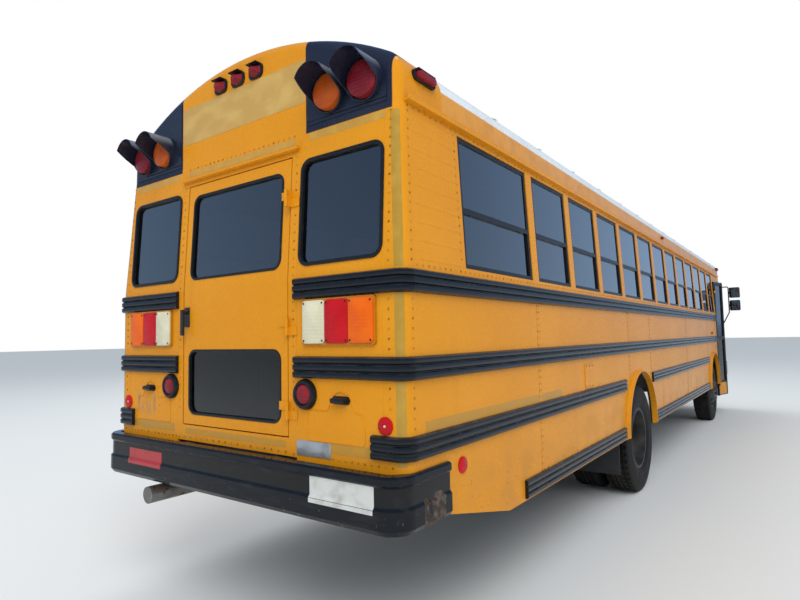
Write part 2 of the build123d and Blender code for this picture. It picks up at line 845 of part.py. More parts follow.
with BuildPart() as clear_lamp_lenses:
    with BuildSketch(rear_plane(rear_y)):
        for side in (1, -1):
            with Locations((side * tail_lenses[0][1], tail_z)):
                Rectangle(tail_lens_w - 8, tail_lens_h)
    extrude(amount=tail_lens_proud)
    with BuildSketch(front_face_plane(front_y)):
        for side in (1, -1):
            with Locations((side * headlamp_x, headlamp_z)):
                Circle(headlamp_r)
    extrude(amount=24)
save(clear_lamp_lenses.part, "clear_lamp_lenses")

# Floor deck with its bows, cut out for the wheelhouses, the stepwell and the engine
inner_half = half_width - wall
well_inner_x = -560
house_gap = 25
house_half = arch_r + house_gap
house_thick = 5
house_inner_x = 530
engine_bay_half = 380
engine_bay_front = front_y + 80
engine_bay_rear = front_y + 1400
step_zs = (door_sill_z, 612, 848)
sheet = 5
well_margin = sheet + running_gap


def house_form(y, side, shrink, reach):
    # The round-topped form of one wheelhouse, made smaller by shrink and as long as reach.
    with BuildPart() as form:
        with BuildSketch(long_plane(side * (house_inner_x + shrink))):
            with Locations((y, arch_z)):
                Circle(house_half - shrink)
        extrude(amount=side * reach)
    return form.part


with BuildPart() as floor_deck:
    box(-inner_half, inner_half, front_y + wall, rear_y - wall, floor_bottom, floor_top)
    fillet(floor_deck.edges().filter_by(Axis.Z), corner_r - wall)
    for i in range(bays + 2):
        y = first_post_y + bow_pitch - i * bow_pitch
        box(-inner_half, inner_half, y - 38, y + 38, frame_top, floor_bottom)
    for y in (rear_axle_y, front_axle_y):
        for side in (1, -1):
            add(house_form(y, side, -running_gap, far), mode=Mode.SUBTRACT)
    well_x = well_inner_x + well_margin
    well_y0 = door_front_y - well_margin
    box(-far, well_x, well_y0, door_rear_y + well_margin, 0, floor_top, mode=Mode.SUBTRACT)
    box(-engine_bay_half, engine_bay_half, engine_bay_front, engine_bay_rear, 0, far, mode=Mode.SUBTRACT)
save(floor_deck.part, "floor_deck")

# Wheelhouses: pressed covers over the wheels, open to the outside and below the floor
with BuildPart() as wheelhouses:
    for y in (rear_axle_y, front_axle_y):
        for side in (1, -1):
            add(house_form(y, side, 0, inner_half - house_inner_x))
            add(house_form(y, side, house_thick, far), mode=Mode.SUBTRACT)
    box(-far, far, -far, far, 0, frame_top, mode=Mode.SUBTRACT)
save(wheelhouses.part, "wheelhouses")

# Stepwell: three treads with their risers inside a sheet-metal box under the doorway
with BuildPart() as stepwell:
    tread_depth = (inner_half + well_inner_x) / 3
    with BuildSketch(cross_plane(door_rear_y)):
        with BuildLine():
            outer_points = []
            x = -half_width + 2
            for i, z in enumerate(step_zs):
                outer_points.append((x, z))
                x = -inner_half + (i + 1) * tread_depth
                outer_points.append((x, z))
            outer_points.append((x, floor_top))
            outer_points.append((x + sheet, floor_top))
            for i, z in reversed(list(enumerate(step_zs))):
                outer_points.append((x + sheet, z - sheet))
                x = -inner_half + i * tread_depth
                if i == 0:
                    x = -half_width + 2 - sheet
                outer_points.append((x + sheet, z - sheet))
            Polyline(*outer_points, close=True)
        make_face()
    extrude(amount=door_width)
    for y0 in (door_rear_y, door_front_y - sheet):
        with BuildSketch(cross_plane(y0 + sheet)):
            rect(-inner_half, well_inner_x + sheet, step_zs[0] - sheet, floor_bottom)
        extrude(amount=sheet)
save(stepwell.part, "stepwell")

# Service door: two leaves hinged at the jambs, standing ajar as they do on the parked bus
leaf_gap = 12
jamb_gap = 8
service_out = 14
service_thick = 32
ajar = 15
leaf_w = (door_width - 2 * jamb_gap - leaf_gap) / 2
leaf_z0 = door_sill_z + 5
leaf_z1 = door_head_z - 12
leaf_frame = 38
leaf_face_x = -half_width + 6
service_panes = ((1500, leaf_z1 - 60), (640, 1440))
kick_top = 590


service_axis_x = leaf_face_x - service_out
service_hinge_zs = (560, 1470, 2380)
service_hinge_r = 8
service_hinge_h = 46
strap_reach = 34


def service_leaf(hinge_y, towards, glass):
    # One closed leaf from its hinge line, its frame or its two panes, then turned ajar.
    y0 = hinge_y
    y1 = hinge_y + towards * leaf_w
    mid_x = leaf_face_x + service_thick / 2
    with BuildPart() as leaf:
        if not glass:
            box(leaf_face_x, leaf_face_x + service_thick, y0, y1, leaf_z0, leaf_z1)
            for z in service_hinge_zs:
                low = z + running_gap / 2
                with Locations((service_axis_x, hinge_y, low + service_hinge_h / 2)):
                    Cylinder(service_hinge_r, service_hinge_h)
                y_end = hinge_y + towards * strap_reach
                box(service_axis_x, leaf_face_x, y0, y0 + towards * 8, low, low + service_hinge_h)
                box(leaf_face_x - 6, leaf_face_x, y0, y_end, low, low + service_hinge_h)
        x0 = mid_x - glass_thick / 2 if glass else leaf_face_x
        x1 = mid_x + glass_thick / 2 if glass else leaf_face_x + service_thick
        for z0, z1 in service_panes:
            pane_y0 = y0 + towards * leaf_frame
            pane_y1 = y1 - towards * leaf_frame
            box(x0, x1, pane_y0, pane_y1, z0, z1, mode=Mode.ADD if glass else Mode.SUBTRACT)
    axis = Axis((service_axis_x, hinge_y, 0), (0, 0, 1))
    return leaf.part.rotate(axis, towards * ajar)


service_hinges = ((door_rear_y - jamb_gap, -1, "rear"), (door_front_y + jamb_gap, 1, "front"))
for hinge_line, towards, end in service_hinges:
    save(service_leaf(hinge_line, towards, False), f"service_door_{end}_leaf")
    save(service_leaf(hinge_line, towards, True), f"service_door_{end}_glass")

# Stop arm on the driver's side: an eight-sided plate folded flat beside the wall, with its bracket
stop_y = door_rear_y + 50
stop_z = 1652
stop_r = 228
stop_x = half_width + 50
lug_z = (45, 75)
with BuildPart() as hinge_brackets:
    add(door_hinges.part)
    for hinge_line, towards, end in service_hinges:
        for z in service_hinge_zs:
            low = z - service_hinge_h - running_gap / 2
            with Locations((service_axis_x, hinge_line, low + service_hinge_h / 2)):
                Cylinder(service_hinge_r, service_hinge_h)
            y_end = hinge_line - towards * strap_reach
            box(service_axis_x, -half_width, hinge_line, y_end, low, low + service_hinge_h)
    box(half_width, half_width + 16, stop_y - 60, stop_y + 60, stop_z - 90, stop_z + 90)
    for direction in (1, -1):
        z0 = stop_z + direction * lug_z[0]
        z1 = stop_z + direction * lug_z[1]
        box(half_width + 16, stop_x + 14, stop_y - 14, stop_y + 14, z0, z1)
save(hinge_brackets.part, "hinge_brackets")
with BuildPart() as stop_arm:
    plate_y = stop_y + 60 + stop_r
    with BuildSketch(long_plane(stop_x - 2.5)):
        with Locations((plate_y, stop_z)):
            RegularPolygon(stop_r, 8, rotation=22.5)
        rect(stop_y, plate_y - stop_r + 60, stop_z - 38, stop_z + 38)
    extrude(amount=5)
    with Locations((stop_x, stop_y, stop_z)):
        Cylinder(9, 2 * (lug_z[0] - running_gap))
save(stop_arm.part, "stop_arm")

# Mirrors: two flat heads on a bent arm at each front corner
mirror_x = half_width + 235
mirror_y = front_y - 60
mirror_w = 190
mirror_h = 215
mirror_t = 44
mirror_zs = (2395, 2130)
arm_r = 11
with BuildPart() as mirrors:
    for side in (1, -1):
        with BuildLine() as path:
            FilletPolyline(
                (side * (half_width - 100), front_y + 71, 2500),
                (side * (half_width - 40), mirror_y, 2520),
                (side * (mirror_x - 120), mirror_y, 2520),
                (side * (mirror_x - 120), mirror_y, 1990),
                (side * (half_width - 60), mirror_y, 1640),
                (side * (half_width - 60), front_y + 9, 1640),
                radius=30,
            )
        start = path.wire().edges()[0]
        with BuildSketch(Plane(origin=start @ 0, z_dir=start % 0)):
            Circle(arm_r)
        sweep(path=path.wire())
        with BuildSketch(cross_plane(mirror_y + mirror_t / 2)):
            with Locations([(side * (mirror_x - 105 + mirror_w / 2), z) for z in mirror_zs]):
                RectangleRounded(mirror_w, mirror_h, 24)
        extrude(amount=mirror_t)
        for z in mirror_zs:
            box(side * (mirror_x - 125), side * (mirror_x - 100), mirror_y - 8, mirror_y + 8, z - 20, z + 20)
    add(outer_block, mode=Mode.SUBTRACT)
save(mirrors.part, "mirrors")

# Bench seats: cushion and back, twelve rows on each side, on tube frames
seat_rows = 12
seat_w = 960
seat_x0 = inner_half - 30 - seat_w
first_seat_y = first_post_y + 380
cushion_d = 400
cushion_h = 120
cushion_top = floor_top + 430
back_top = floor_top + 1050
back_t = 85
soft_gap = 2
row_ys = [first_seat_y - i * bow_pitch for i in range(seat_rows)]
for side, label in ((1, "left_bench_seats"), (-1, "right_bench_seats")):
    with BuildPart() as benches:
        for y in row_ys:
            z0 = cushion_top - cushion_h
            xa = side * seat_x0
            xb = side * (seat_x0 + seat_w)
            box(xa, xb, y - cushion_d, y - soft_gap, z0, cushion_top)
            box(xa, xb, y, y + back_t, z0, back_top)
    save(benches.part, label)

# One bench's frame stands at the row line Y = 0 on the +X side; over a wheelhouse it has no outer legs
frame_tube = 26
seat_under = cushion_top - cushion_h
frame_x0 = seat_x0 + 30
frame_x1 = seat_x0 + seat_w - 40
frame_y0 = -cushion_d + 60
frame_y1 = 20 + frame_tube


def bench_frame(outer_legs):
    with BuildPart() as bench:
        top = seat_under - running_gap
        x1 = frame_x1 + frame_tube
        box(frame_x0, x1, frame_y0, frame_y1, seat_under - frame_tube, top)
        hole = (frame_x0 + frame_tube, frame_x1, frame_y0 + frame_tube, frame_y1 - frame_tube)
        box(*hole, 0, seat_under, mode=Mode.SUBTRACT)
        for x in (frame_x0, frame_x1) if outer_legs else (frame_x0,):
            for y in (frame_y0, frame_y1 - frame_tube):
                box(x, x + frame_tube, y, y + frame_tube, floor_top, seat_under - frame_tube)
    return bench.part


def over_wheels(row_y):
    reach = house_half + 20
    ends = (row_y + frame_y0, row_y + frame_y1)
    return any(abs(end - axle_y) < reach for end in ends for axle_y in (front_axle_y, rear_axle_y))


with BuildPart() as seat_frames:
    for outer_legs in (True, False):
        rows = [y for y in row_ys if over_wheels(y) != outer_legs]
        with Locations([(0, y, 0) for y in rows]):
            add(bench_frame(outer_legs))
    mirror(about=Plane.YZ)

# Driver's place: seat on its pedestal, dash, steering column with its wheel, engine cover
driver_x = 690
dash_back_y = front_y + 520
driver_y = dash_back_y + 360.5
with BuildPart() as driver_seat:
    box(driver_x - 240, driver_x + 240, driver_y - 230, driver_y + 230, floor_top + 380, floor_top + 490)
    box(driver_x - 230, driver_x + 230, driver_y + 235, driver_y + 330, floor_top + 400, floor_top + 1080)
save(driver_seat.part, "driver_seat")
with BuildPart() as driver_pedestal:
    z1 = floor_top + 380 - running_gap
    box(driver_x - 170, driver_x + 170, driver_y - 150, driver_y + 150, floor_top, z1)
    box(driver_x - 200, driver_x + 200, driver_y - 190, driver_y + 330, z1 - 22, z1)
    for x in (driver_x - 200, driver_x + 180):
        box(x, x + 20, driver_y + 330 + running_gap, driver_y + 345, z1 - 22, floor_top + 800)
    box(driver_x - 200, driver_x + 200, driver_y + 310, driver_y + 345, z1 - 22, z1)
with BuildPart() as all_seat_frames:
    add(seat_frames.part)
    add(driver_pedestal.part)
save(all_seat_frames.part, "seat_frames")

dash_front_y = front_y + wall + running_gap
dash_kerb_x = 500
dash_low_z = floor_top + 230
with BuildPart() as dashboard:
    with BuildSketch(long_plane(-dash_kerb_x)):
        Polygon(
            (dash_front_y, dash_low_z),
            (dash_back_y - 60, dash_low_z - 30),
            (dash_back_y, 1400),
            (dash_back_y - 90, 1500),
            (dash_front_y + 92, 1550),
            (dash_front_y + (1530 - cowl_z) / (eave_z - cowl_z) * lean_front, 1530),
            (dash_front_y, cowl_z),
        )
    extrude(amount=dash_kerb_x + inner_half - 24)

wheel_centre = (driver_x, driver_y - 480, floor_top + 690)
wheel_tilt = -30
steering_wheel_r = 228
with BuildPart() as steering_wheel:
    with BuildSketch(Plane.XZ):
        with Locations((steering_wheel_r, 0)):
            Circle(15)
    revolve(axis=Axis.Z)
    Cylinder(48, 36)
    for angle in (90, 210, 330):
        with Locations(Location((0, 0, 0), (0, 0, angle))):
            Box(steering_wheel_r, 26, 12, align=(Align.MIN, Align.CENTER, Align.CENTER))
steering_wheel_part = steering_wheel.part.moved(Location(wheel_centre, (wheel_tilt, 0, 0)))
save(steering_wheel_part, "steering_wheel")
with BuildPart() as steering_column:
    Cylinder(26, 330, align=(Align.CENTER, Align.CENTER, Align.MAX))
column_shift = Location(wheel_centre, (wheel_tilt, 0, 0)) * Location((0, 0, -18 - running_gap))
column_part = steering_column.part.moved(column_shift)
with BuildPart() as dash_and_column:
    add(dashboard.part)
    add(column_part)
save(dash_and_column.part, "dashboard")

cover_half = 430
cover_front = dash_back_y - 60
cover_rear = engine_bay_rear + 60
cover_top = floor_top + 420
cover_t = 30
cover_low_top = dash_low_z - 30 - running_gap
with BuildPart() as engine_cover:
    box(-cover_half, cover_half, cover_front + 70, cover_rear, floor_top, cover_top)
    fillet(engine_cover.edges().filter_by(Axis.Y).group_by(Axis.Z)[-1], 70)
    box(-cover_half, cover_half, dash_front_y, cover_front + 70, floor_top, cover_low_top)
    inner_x = cover_half - cover_t
    hollow_y = cover_front + 70 + cover_t
    box(-inner_x, inner_x, hollow_y, cover_rear - cover_t, 0, cover_top - cover_t, mode=Mode.SUBTRACT)
    box(-inner_x, inner_x, front_y, hollow_y + 10, 0, cover_low_top - cover_t, mode=Mode.SUBTRACT)
save(engine_cover.part, "engine_cover")

rail_thick = 8

# Engine as one block between the frame rails, and the radiator behind the grille
engine_half = 320
engine_front = dash_back_y + 60
with BuildPart() as engine_block:
    box(-engine_half, engine_half, engine_front, engine_bay_rear - 40, 700, floor_top + 330)
    chamfer(engine_block.edges().filter_by(Axis.Y), 40)
    mount_out = frame_half - rail_thick
    for y in (engine_front + 150, engine_bay_rear - 200):
        box(-mount_out, mount_out, y - 50, y + 50, frame_bottom + rail_thick, frame_bottom + rail_thick + 40)
with BuildPart() as radiator:
    box(-345, 345, front_y + 90, front_y + 190, frame_bottom + 20, 1240)
save(radiator.part, "radiator")

# Chassis frame: two channel rails from bumper to bumper, cross-members and leaf springs
frame_rear = overall_length / 2 - bumper_depth - running_gap
frame_front = -overall_length / 2 + bumper_depth + running_gap
cross_ys = (rear_axle_y + 3300, rear_axle_y + 1500, rear_axle_y + 620, rear_axle_y - 900, rear_axle_y - 2600)
spring_w = 76
spring_half = 720
with BuildPart() as chassis_frame:
    for side in (1, -1):
        with BuildSketch(cross_plane(frame_rear)):
            rect(side * (frame_half - frame_flange), side * frame_half, frame_bottom, frame_top)
            rect(
                side * (frame_half - frame_flange),
                side * (frame_half - rail_thick),
                frame_bottom + rail_thick,
                frame_top - rail_thick,
                mode=Mode.SUBTRACT,
            )
        extrude(amount=frame_rear - frame_front)
    between = frame_half - rail_thick
    for y in cross_ys:
        box(-between, between, y - 35, y + 35, frame_bottom + 40, frame_top - 40)
    y = front_y + 140
    box(-between, between, y - 60, y + 60, frame_bottom, frame_bottom + 20)
save(chassis_frame.part, "chassis_frame")


spring_z = axle_z + 132
spring_leaves = 5
leaf_pitch = 12
leaf_t = 12.5
spring_rise = 60
with BuildPart() as leaf_springs:
    for y in (front_axle_y, rear_axle_y):
        for side in (1, -1):
            x = side * (frame_half - frame_flange / 2)
            for i in range(spring_leaves):
                half = spring_half - i * 120
                low = spring_z - i * leaf_pitch
                tip = low + spring_rise * (half / spring_half) ** 2
                with BuildSketch(long_plane(x - spring_w / 2)):
                    with BuildLine():
                        ThreePointArc((y + half, tip), (y, low), (y - half, tip))
                        Line((y - half, tip), (y - half, tip + leaf_t))
                        ThreePointArc((y - half, tip + leaf_t), (y, low + leaf_t), (y + half, tip + leaf_t))
                        Line((y + half, tip + leaf_t), (y + half, tip))
                    make_face()
                extrude(amount=spring_w)
            for end in (-1, 1):
                y_end = y + end * (spring_half - 20)
                box(x - 30, x + 30, y_end - 30, y_end + 30, spring_z + 58, frame_bottom)
save(leaf_springs.part, "leaf_springs")

# Front axle beam with its steering knuckles
kingpin_x = 900
beam_z = axle_z - 25
eye_h = 110
eye_r = 48
fork_t = 40
web_out = 80
with BuildPart() as front_axle:
    box(-kingpin_x, kingpin_x, front_axle_y - 42, front_axle_y + 42, beam_z - 45, beam_z + 45)
    for side in (1, -1):
        with Locations((side * kingpin_x, front_axle_y, beam_z)):
            Cylinder(eye_r, eye_h)
        x = side * (frame_half - frame_flange / 2)
        box(x - 45, x + 45, front_axle_y - 60, front_axle_y + 60, beam_z + 40, spring_z - 48 - running_gap)
save(front_axle.part, "front_axle")

for side, label in ((1, "front_knuckle_left"), (-1, "front_knuckle_right")):
    with BuildPart() as knuckle:
        web_in = eye_r + 5
        for direction in (1, -1):
            near = beam_z + direction * (eye_h / 2 + running_gap)
            far_z = near + direction * fork_t
            with Locations((side * kingpin_x, front_axle_y, (near + far_z) / 2)):
                Cylinder(eye_r, fork_t)
            x0 = side * kingpin_x
            box(x0, x0 + side * web_out, front_axle_y - 38, front_axle_y + 38, near, far_z)
        z_reach = eye_h / 2 + fork_t
        x0 = side * (kingpin_x + web_in)
        x1 = side * (kingpin_x + web_out)
        box(x0, x1, front_axle_y - 38, front_axle_y + 38, beam_z - z_reach, beam_z + z_reach)
    save(knuckle.part, label)

# Rear axle: tube, differential and spring seats
rear_outer_x = half_width - 4 - tyre_w / 2
rear_inner_x = rear_outer_x - dual_spacing
mount_x = (rear_outer_x + rear_inner_x) / 2
hub_inner_x = rear_inner_x - tyre_w / 2 + 10
with BuildPart() as rear_axle:
    with Locations(Location((0, rear_axle_y, axle_z), (0, 90, 0))):
        Cylinder(75, 2 * (hub_inner_x - running_gap))
    with Locations((0, rear_axle_y, axle_z)):
        Sphere(205)
    with Locations(Location((0, rear_axle_y - 150, axle_z), (90, 0, 0))):
        Cylinder(80, 160, align=(Align.CENTER, Align.CENTER, Align.MIN))
    for side in (1, -1):
        x = side * (frame_half - frame_flange / 2)
        box(x - 45, x + 45, rear_axle_y - 60, rear_axle_y + 60, axle_z, spring_z - 48 - running_gap)
save(rear_axle.part, "rear_axle")

# Driveshaft from the gearbox to the differential
shaft_front_y = engine_bay_rear + 250
with BuildPart() as gearbox:
    box(-170, 170, engine_bay_rear - 40 + running_gap, shaft_front_y, 640, 980)
    chamfer(gearbox.edges().filter_by(Axis.Y), 60)
with BuildPart() as engine_and_gearbox:
    add(engine_block.part)
    add(gearbox.part)
save(engine_and_gearbox.part, "engine_block")
shaft_a = Vector(0, shaft_front_y, 800)
shaft_b = Vector(0, rear_axle_y - 310, axle_z)
with BuildPart() as driveshaft:
    with BuildLine() as path:
        Line(shaft_a, shaft_b)
    with BuildSketch(Plane(origin=shaft_a, z_dir=shaft_b - shaft_a)):
        Circle(50)
    sweep(path=path.wire())
with BuildPart() as shaft_trim:
    add(driveshaft.part)
    box(-far, far, shaft_front_y, rear_axle_y - 310 - running_gap, 0, far, mode=Mode.INTERSECT)
save(shaft_trim.part, "driveshaft")

# Fuel tank on the driver's side, battery box, exhaust pipe with its silencer and the mudflaps
with BuildPart() as fuel_tank:
    box(frame_half + 20, 1090, -1700, -300, 640, 980)
    fillet(fuel_tank.edges().filter_by(Axis.Y), 60)
    for y in (-1500, -1000, -500):
        box(frame_half, frame_half + 30, y - 40, y + 40, 800, 980)
save(fuel_tank.part, "fuel_tank")

exhaust_in_x = 290
exhaust_out_x = 700
exhaust_z = frame_bottom - 50
exhaust_low_z = exhaust_z - 30
with BuildPart() as exhaust_pipe:
    with BuildLine() as path:
        FilletPolyline(
            (exhaust_in_x, engine_bay_rear - 39, exhaust_z),
            (exhaust_in_x, rear_axle_y + 2500, exhaust_z),
            (exhaust_out_x, rear_axle_y + 3000, exhaust_low_z),
            (exhaust_out_x, overall_length / 2 - 10, exhaust_low_z),
            radius=150,
        )
    with BuildSketch(Plane(origin=path.wire() @ 0, z_dir=(0, 1, 0))):
        Circle(51)
    sweep(path=path.wire())
    for y in (cross_ys[1], cross_ys[3]):
        box(exhaust_in_x - 12, exhaust_in_x + 12, y - 12, y + 12, exhaust_z + 45, frame_bottom + 40)
    y = first_post_y + bow_pitch
    box(exhaust_out_x - 12, exhaust_out_x + 12, y - 12, y + 12, exhaust_low_z + 45, frame_top)
save(exhaust_pipe.part, "exhaust_pipe")

flap_y = rear_axle_y + 690
with BuildPart() as mudflaps:
    for side in (1, -1):
        flap_x = side * (rear_inner_x - 130)
        box(flap_x, side * (half_width - 45), flap_y, flap_y + 10, 290, floor_bottom)
        box(side * frame_half, flap_x, flap_y - 5, flap_y + 15, frame_top - 60, frame_top - 20)
save(mudflaps.part, "mudflaps")


# Wheels: disc rims with hand holes and hollow tyres, the rear ones as twins on one hub
bead_half = 103


def tyre_profile(centre):
    # Half-section of a tyre with local x along the axle and local y as the radius.
    half = tyre_w / 2
    Polygon(
        (centre - bead_half + running_gap, rim_r + 24),
        (centre - bead_half + running_gap, rim_r + running_gap),
        (centre + bead_half - running_gap, rim_r + running_gap),
        (centre + bead_half - running_gap, rim_r + 24),
        (centre + half, rim_r + 115),
        (centre + half - 6, tyre_r - 62),
        (centre + half - 30, tyre_r - 10),
        (centre + half - 52, tyre_r),
        (centre - half + 52, tyre_r),
        (centre - half + 30, tyre_r - 10),
        (centre - half + 6, tyre_r - 62),
        (centre - half, rim_r + 115),
    )


def rim_profile(centre, dish):
    # A rim with its flanges, and a disc that reaches from the barrel to the mounting face.
    Polygon(
        (centre - 112, rim_r + 18),
        (centre - bead_half, rim_r + 18),
        (centre - bead_half, rim_r),
        (centre + bead_half, rim_r),
        (centre + bead_half, rim_r + 18),
        (centre + 112, rim_r + 18),
        (centre + 112, rim_r - 12),
        (centre - 112, rim_r - 12),
    )
    Polygon(
        (centre + dish * 40, rim_r - 8),
        (centre + dish * 60, rim_r - 8),
        (centre + dish * 162, 175),
        (centre + dish * 168, 90),
        (centre + dish * 156, 90),
        (centre + dish * 150, 170),
    )


def wheel_plane(y):
    # Local x is X and local y is the height over the axle line.
    return Plane(origin=(0, y, axle_z), x_dir=(1, 0, 0), z_dir=(0, -1, 0))


hand_hole_ring = 226
hand_hole_size = (62, 40)


def hand_holes(x, y, side, reach):
    # Eight slots through a wheel's disc, on a ring round the axle.
    with BuildPart() as holes:
        with BuildSketch(Plane(origin=(x, y, axle_z), x_dir=(0, 1, 0), z_dir=(side, 0, 0))):
            with PolarLocations(hand_hole_ring, 8):
                SlotOverall(*hand_hole_size, rotation=90)
        extrude(amount=reach)
    return holes.part


for side, hand in ((1, "left"), (-1, "right")):
    front_x = side * front_track_half
    mount_face = front_x + side * 162
    with BuildPart() as front_tyre:
        with BuildSketch(wheel_plane(front_axle_y)):
            tyre_profile(front_x)
        revolve(axis=Axis((0, front_axle_y, axle_z), (1, 0, 0)))
    save(front_tyre.part, f"front_tyre_{hand}")
    with BuildPart() as front_wheel:
        with BuildSketch(wheel_plane(front_axle_y)):
            rim_profile(front_x, side)
            hub_in = side * (kingpin_x + web_out + running_gap)
            rect(hub_in, mount_face + side * 2, 0, 95)
            rect(hub_in, mount_face + side * 40, 0, 62)
            rect(hub_in, front_x + side * 40, 0, 205)
        revolve(axis=Axis((0, front_axle_y, axle_z), (1, 0, 0)))
        add(hand_holes(front_x + side * 45, front_axle_y, side, 130), mode=Mode.SUBTRACT)
    save(front_wheel.part, f"front_wheel_{hand}")
    with BuildPart() as rear_tyres:
        with BuildSketch(wheel_plane(rear_axle_y)):
            tyre_profile(side * rear_outer_x)
            tyre_profile(side * rear_inner_x)
        revolve(axis=Axis((0, rear_axle_y, axle_z), (1, 0, 0)))
    save(rear_tyres.part, f"rear_tyres_{hand}")
    with BuildPart() as rear_wheels:
        with BuildSketch(wheel_plane(rear_axle_y)):
            rim_profile(side * rear_outer_x, -side)
            rim_profile(side * rear_inner_x, side)
            rect(side * hub_inner_x, side * (mount_x + 150), 0, 92)
            rect(side * hub_inner_x, side * (mount_x - 30), 0, 205)
        revolve(axis=Axis((0, rear_axle_y, axle_z), (1, 0, 0)))
        holes = hand_holes(side * (rear_inner_x + 45), rear_axle_y, side, dual_spacing - 90)
        add(holes, mode=Mode.SUBTRACT)
    save(rear_wheels.part, f"rear_wheels_{hand}")

print("parts written:", len(os.listdir("parts")))
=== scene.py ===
# %% [markdown]
# # A school bus, seen from behind
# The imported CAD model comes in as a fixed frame: real metres, nose towards -Y, wheels on Z = 0.
# Nothing of it is moved here. This lesson gives it its finishes and adds what sheet metal, rubber
# and paint carry on the real bus: rivets, seams, tapes, gaskets, lenses, tread and sewn seats.

# %% Load the frame
import math

import bmesh
import bpy
from mathutils import Matrix, Vector


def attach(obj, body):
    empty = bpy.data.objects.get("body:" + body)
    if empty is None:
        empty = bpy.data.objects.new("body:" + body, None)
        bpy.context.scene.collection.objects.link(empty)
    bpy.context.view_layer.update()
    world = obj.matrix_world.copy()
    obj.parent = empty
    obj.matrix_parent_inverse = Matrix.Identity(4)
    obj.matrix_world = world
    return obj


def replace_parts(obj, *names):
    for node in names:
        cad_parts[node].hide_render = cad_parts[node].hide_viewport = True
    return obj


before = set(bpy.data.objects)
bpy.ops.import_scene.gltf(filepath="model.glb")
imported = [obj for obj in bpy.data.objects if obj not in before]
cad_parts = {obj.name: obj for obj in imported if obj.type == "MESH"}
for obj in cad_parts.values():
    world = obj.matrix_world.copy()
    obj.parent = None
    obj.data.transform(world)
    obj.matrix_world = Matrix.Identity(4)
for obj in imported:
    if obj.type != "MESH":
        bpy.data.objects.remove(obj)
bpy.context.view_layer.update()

# %% [markdown]
# ## The camera
# The photograph was taken by hand behind the bus, a little to its kerb side, with a wide lens.
# A camera could be aimed with a Track To constraint, but a matrix of its three axes keeps the slight
# tilt of the hand as well, so the axes are written down: right, up, and backwards.

# %% Camera at the photograph's place
camera_right = Vector((-0.8081, -0.5887, -0.0191)).normalized()
camera_back = Vector((-0.5865, 0.8072, -0.0668)).normalized()
camera_up = camera_back.cross(camera_right).normalized()
camera_at = Vector((-2.625, 7.744, 1.594))

view_axes = Matrix((camera_right, camera_up, camera_back)).transposed().to_4x4()
lens = bpy.data.cameras.new("photo_camera")
lens.lens = 25.2
lens.sensor_width = 36
lens.clip_end = 300
camera = bpy.data.objects.new("photo_camera", lens)
camera.matrix_world = Matrix.Translation(camera_at) @ view_axes
bpy.context.scene.collection.objects.link(camera)
bpy.context.scene.camera = camera
print("camera at", tuple(round(value, 2) for value in camera_at))

# %% [markdown]
# ## Light
# The bus stood in open daylight with a bright sky. A studio version of that is a pale dome and two
# very large soft lamps: one high behind the kerb side, one over the nose. Lamps this large give soft
# shadows without the hard edge of a sun lamp, and gloss paint shows their broad reflections.

# %% Dome and soft lamps
scene = bpy.context.scene
scene.view_settings.view_transform = "Standard"
world = bpy.data.worlds.new("pale_dome")
scene.world = world
world.use_nodes = True
sky_tree = world.node_tree
sky_tree.nodes.clear()


def sky_node(kind, *inputs, **settings):
    # Each input is a pair of a socket and its value, which may be the output of another node.
    node = sky_tree.nodes.new("ShaderNode" + kind)
    for name, value in settings.items():
        setattr(node, name, value)
    for socket, value in inputs:
        if isinstance(value, bpy.types.NodeSocket):
            sky_tree.links.new(value, node.inputs[socket])
        else:
            node.inputs[socket].default_value = value
    return node.outputs


ray = sky_node("LightPath")
mirrored = sky_node("Math", (0, ray["Is Glossy Ray"]), (1, ray["Is Transmission Ray"]), operation="MAXIMUM")
direction = sky_node("SeparateXYZ", (0, sky_node("NewGeometry")["Position"]))
height = sky_node("MapRange", ("Value", direction["Z"]), ("From Min", 0.02), ("From Max", 0.75))
low_blue, high_blue = (0.42, 0.60, 0.86, 1), (0.13, 0.25, 0.50, 1)
fade = sky_node("Mix", (0, height["Result"]), (6, low_blue), (7, high_blue), data_type="RGBA")
gloss_sky = sky_node("Background", ("Color", fade[2]), ("Strength", 0.9))
white = sky_node("Background", ("Color", (1, 1, 1, 1)), ("Strength", 1.0))
sky = sky_node("Background", ("Color", (0.86, 0.94, 1, 1)), ("Strength", 0.70))
indirect = sky_node("MixShader", (0, mirrored[0]), (1, sky[0]), (2, gloss_sky[0]))
either = sky_node("MixShader", (0, ray["Is Camera Ray"]), (1, indirect[0]), (2, white[0]))
sky_node("OutputWorld", (0, either[0]))


def soft_lamp(name, place, target, size, watts):
    light = bpy.data.lights.new(name, "AREA")
    light.size = size
    light.energy = watts
    lamp = bpy.data.objects.new(name, light)
    lamp.location = place
    lamp.rotation_euler = (Vector(target) - Vector(place)).to_track_quat("-Z", "Y").to_euler()
    lamp.visible_glossy = False
    scene.collection.objects.link(lamp)
    print(name, "at", place, watts, "W")


soft_lamp("kerb_lamp", (-10.5, 15.5, 15.5), (-0.5, 3, 1.5), 13, 2500)
soft_lamp("far_lamp", (8, -6, 17), (0, 0, 1.5), 12, 1100)

# %% [markdown]
# ## The floor
# The floor is a plain pale sheet, far larger than the bus, so that its edge lies near the horizon.
# It stays a real surface that catches the shadow under the chassis, which tells how the bus stands.

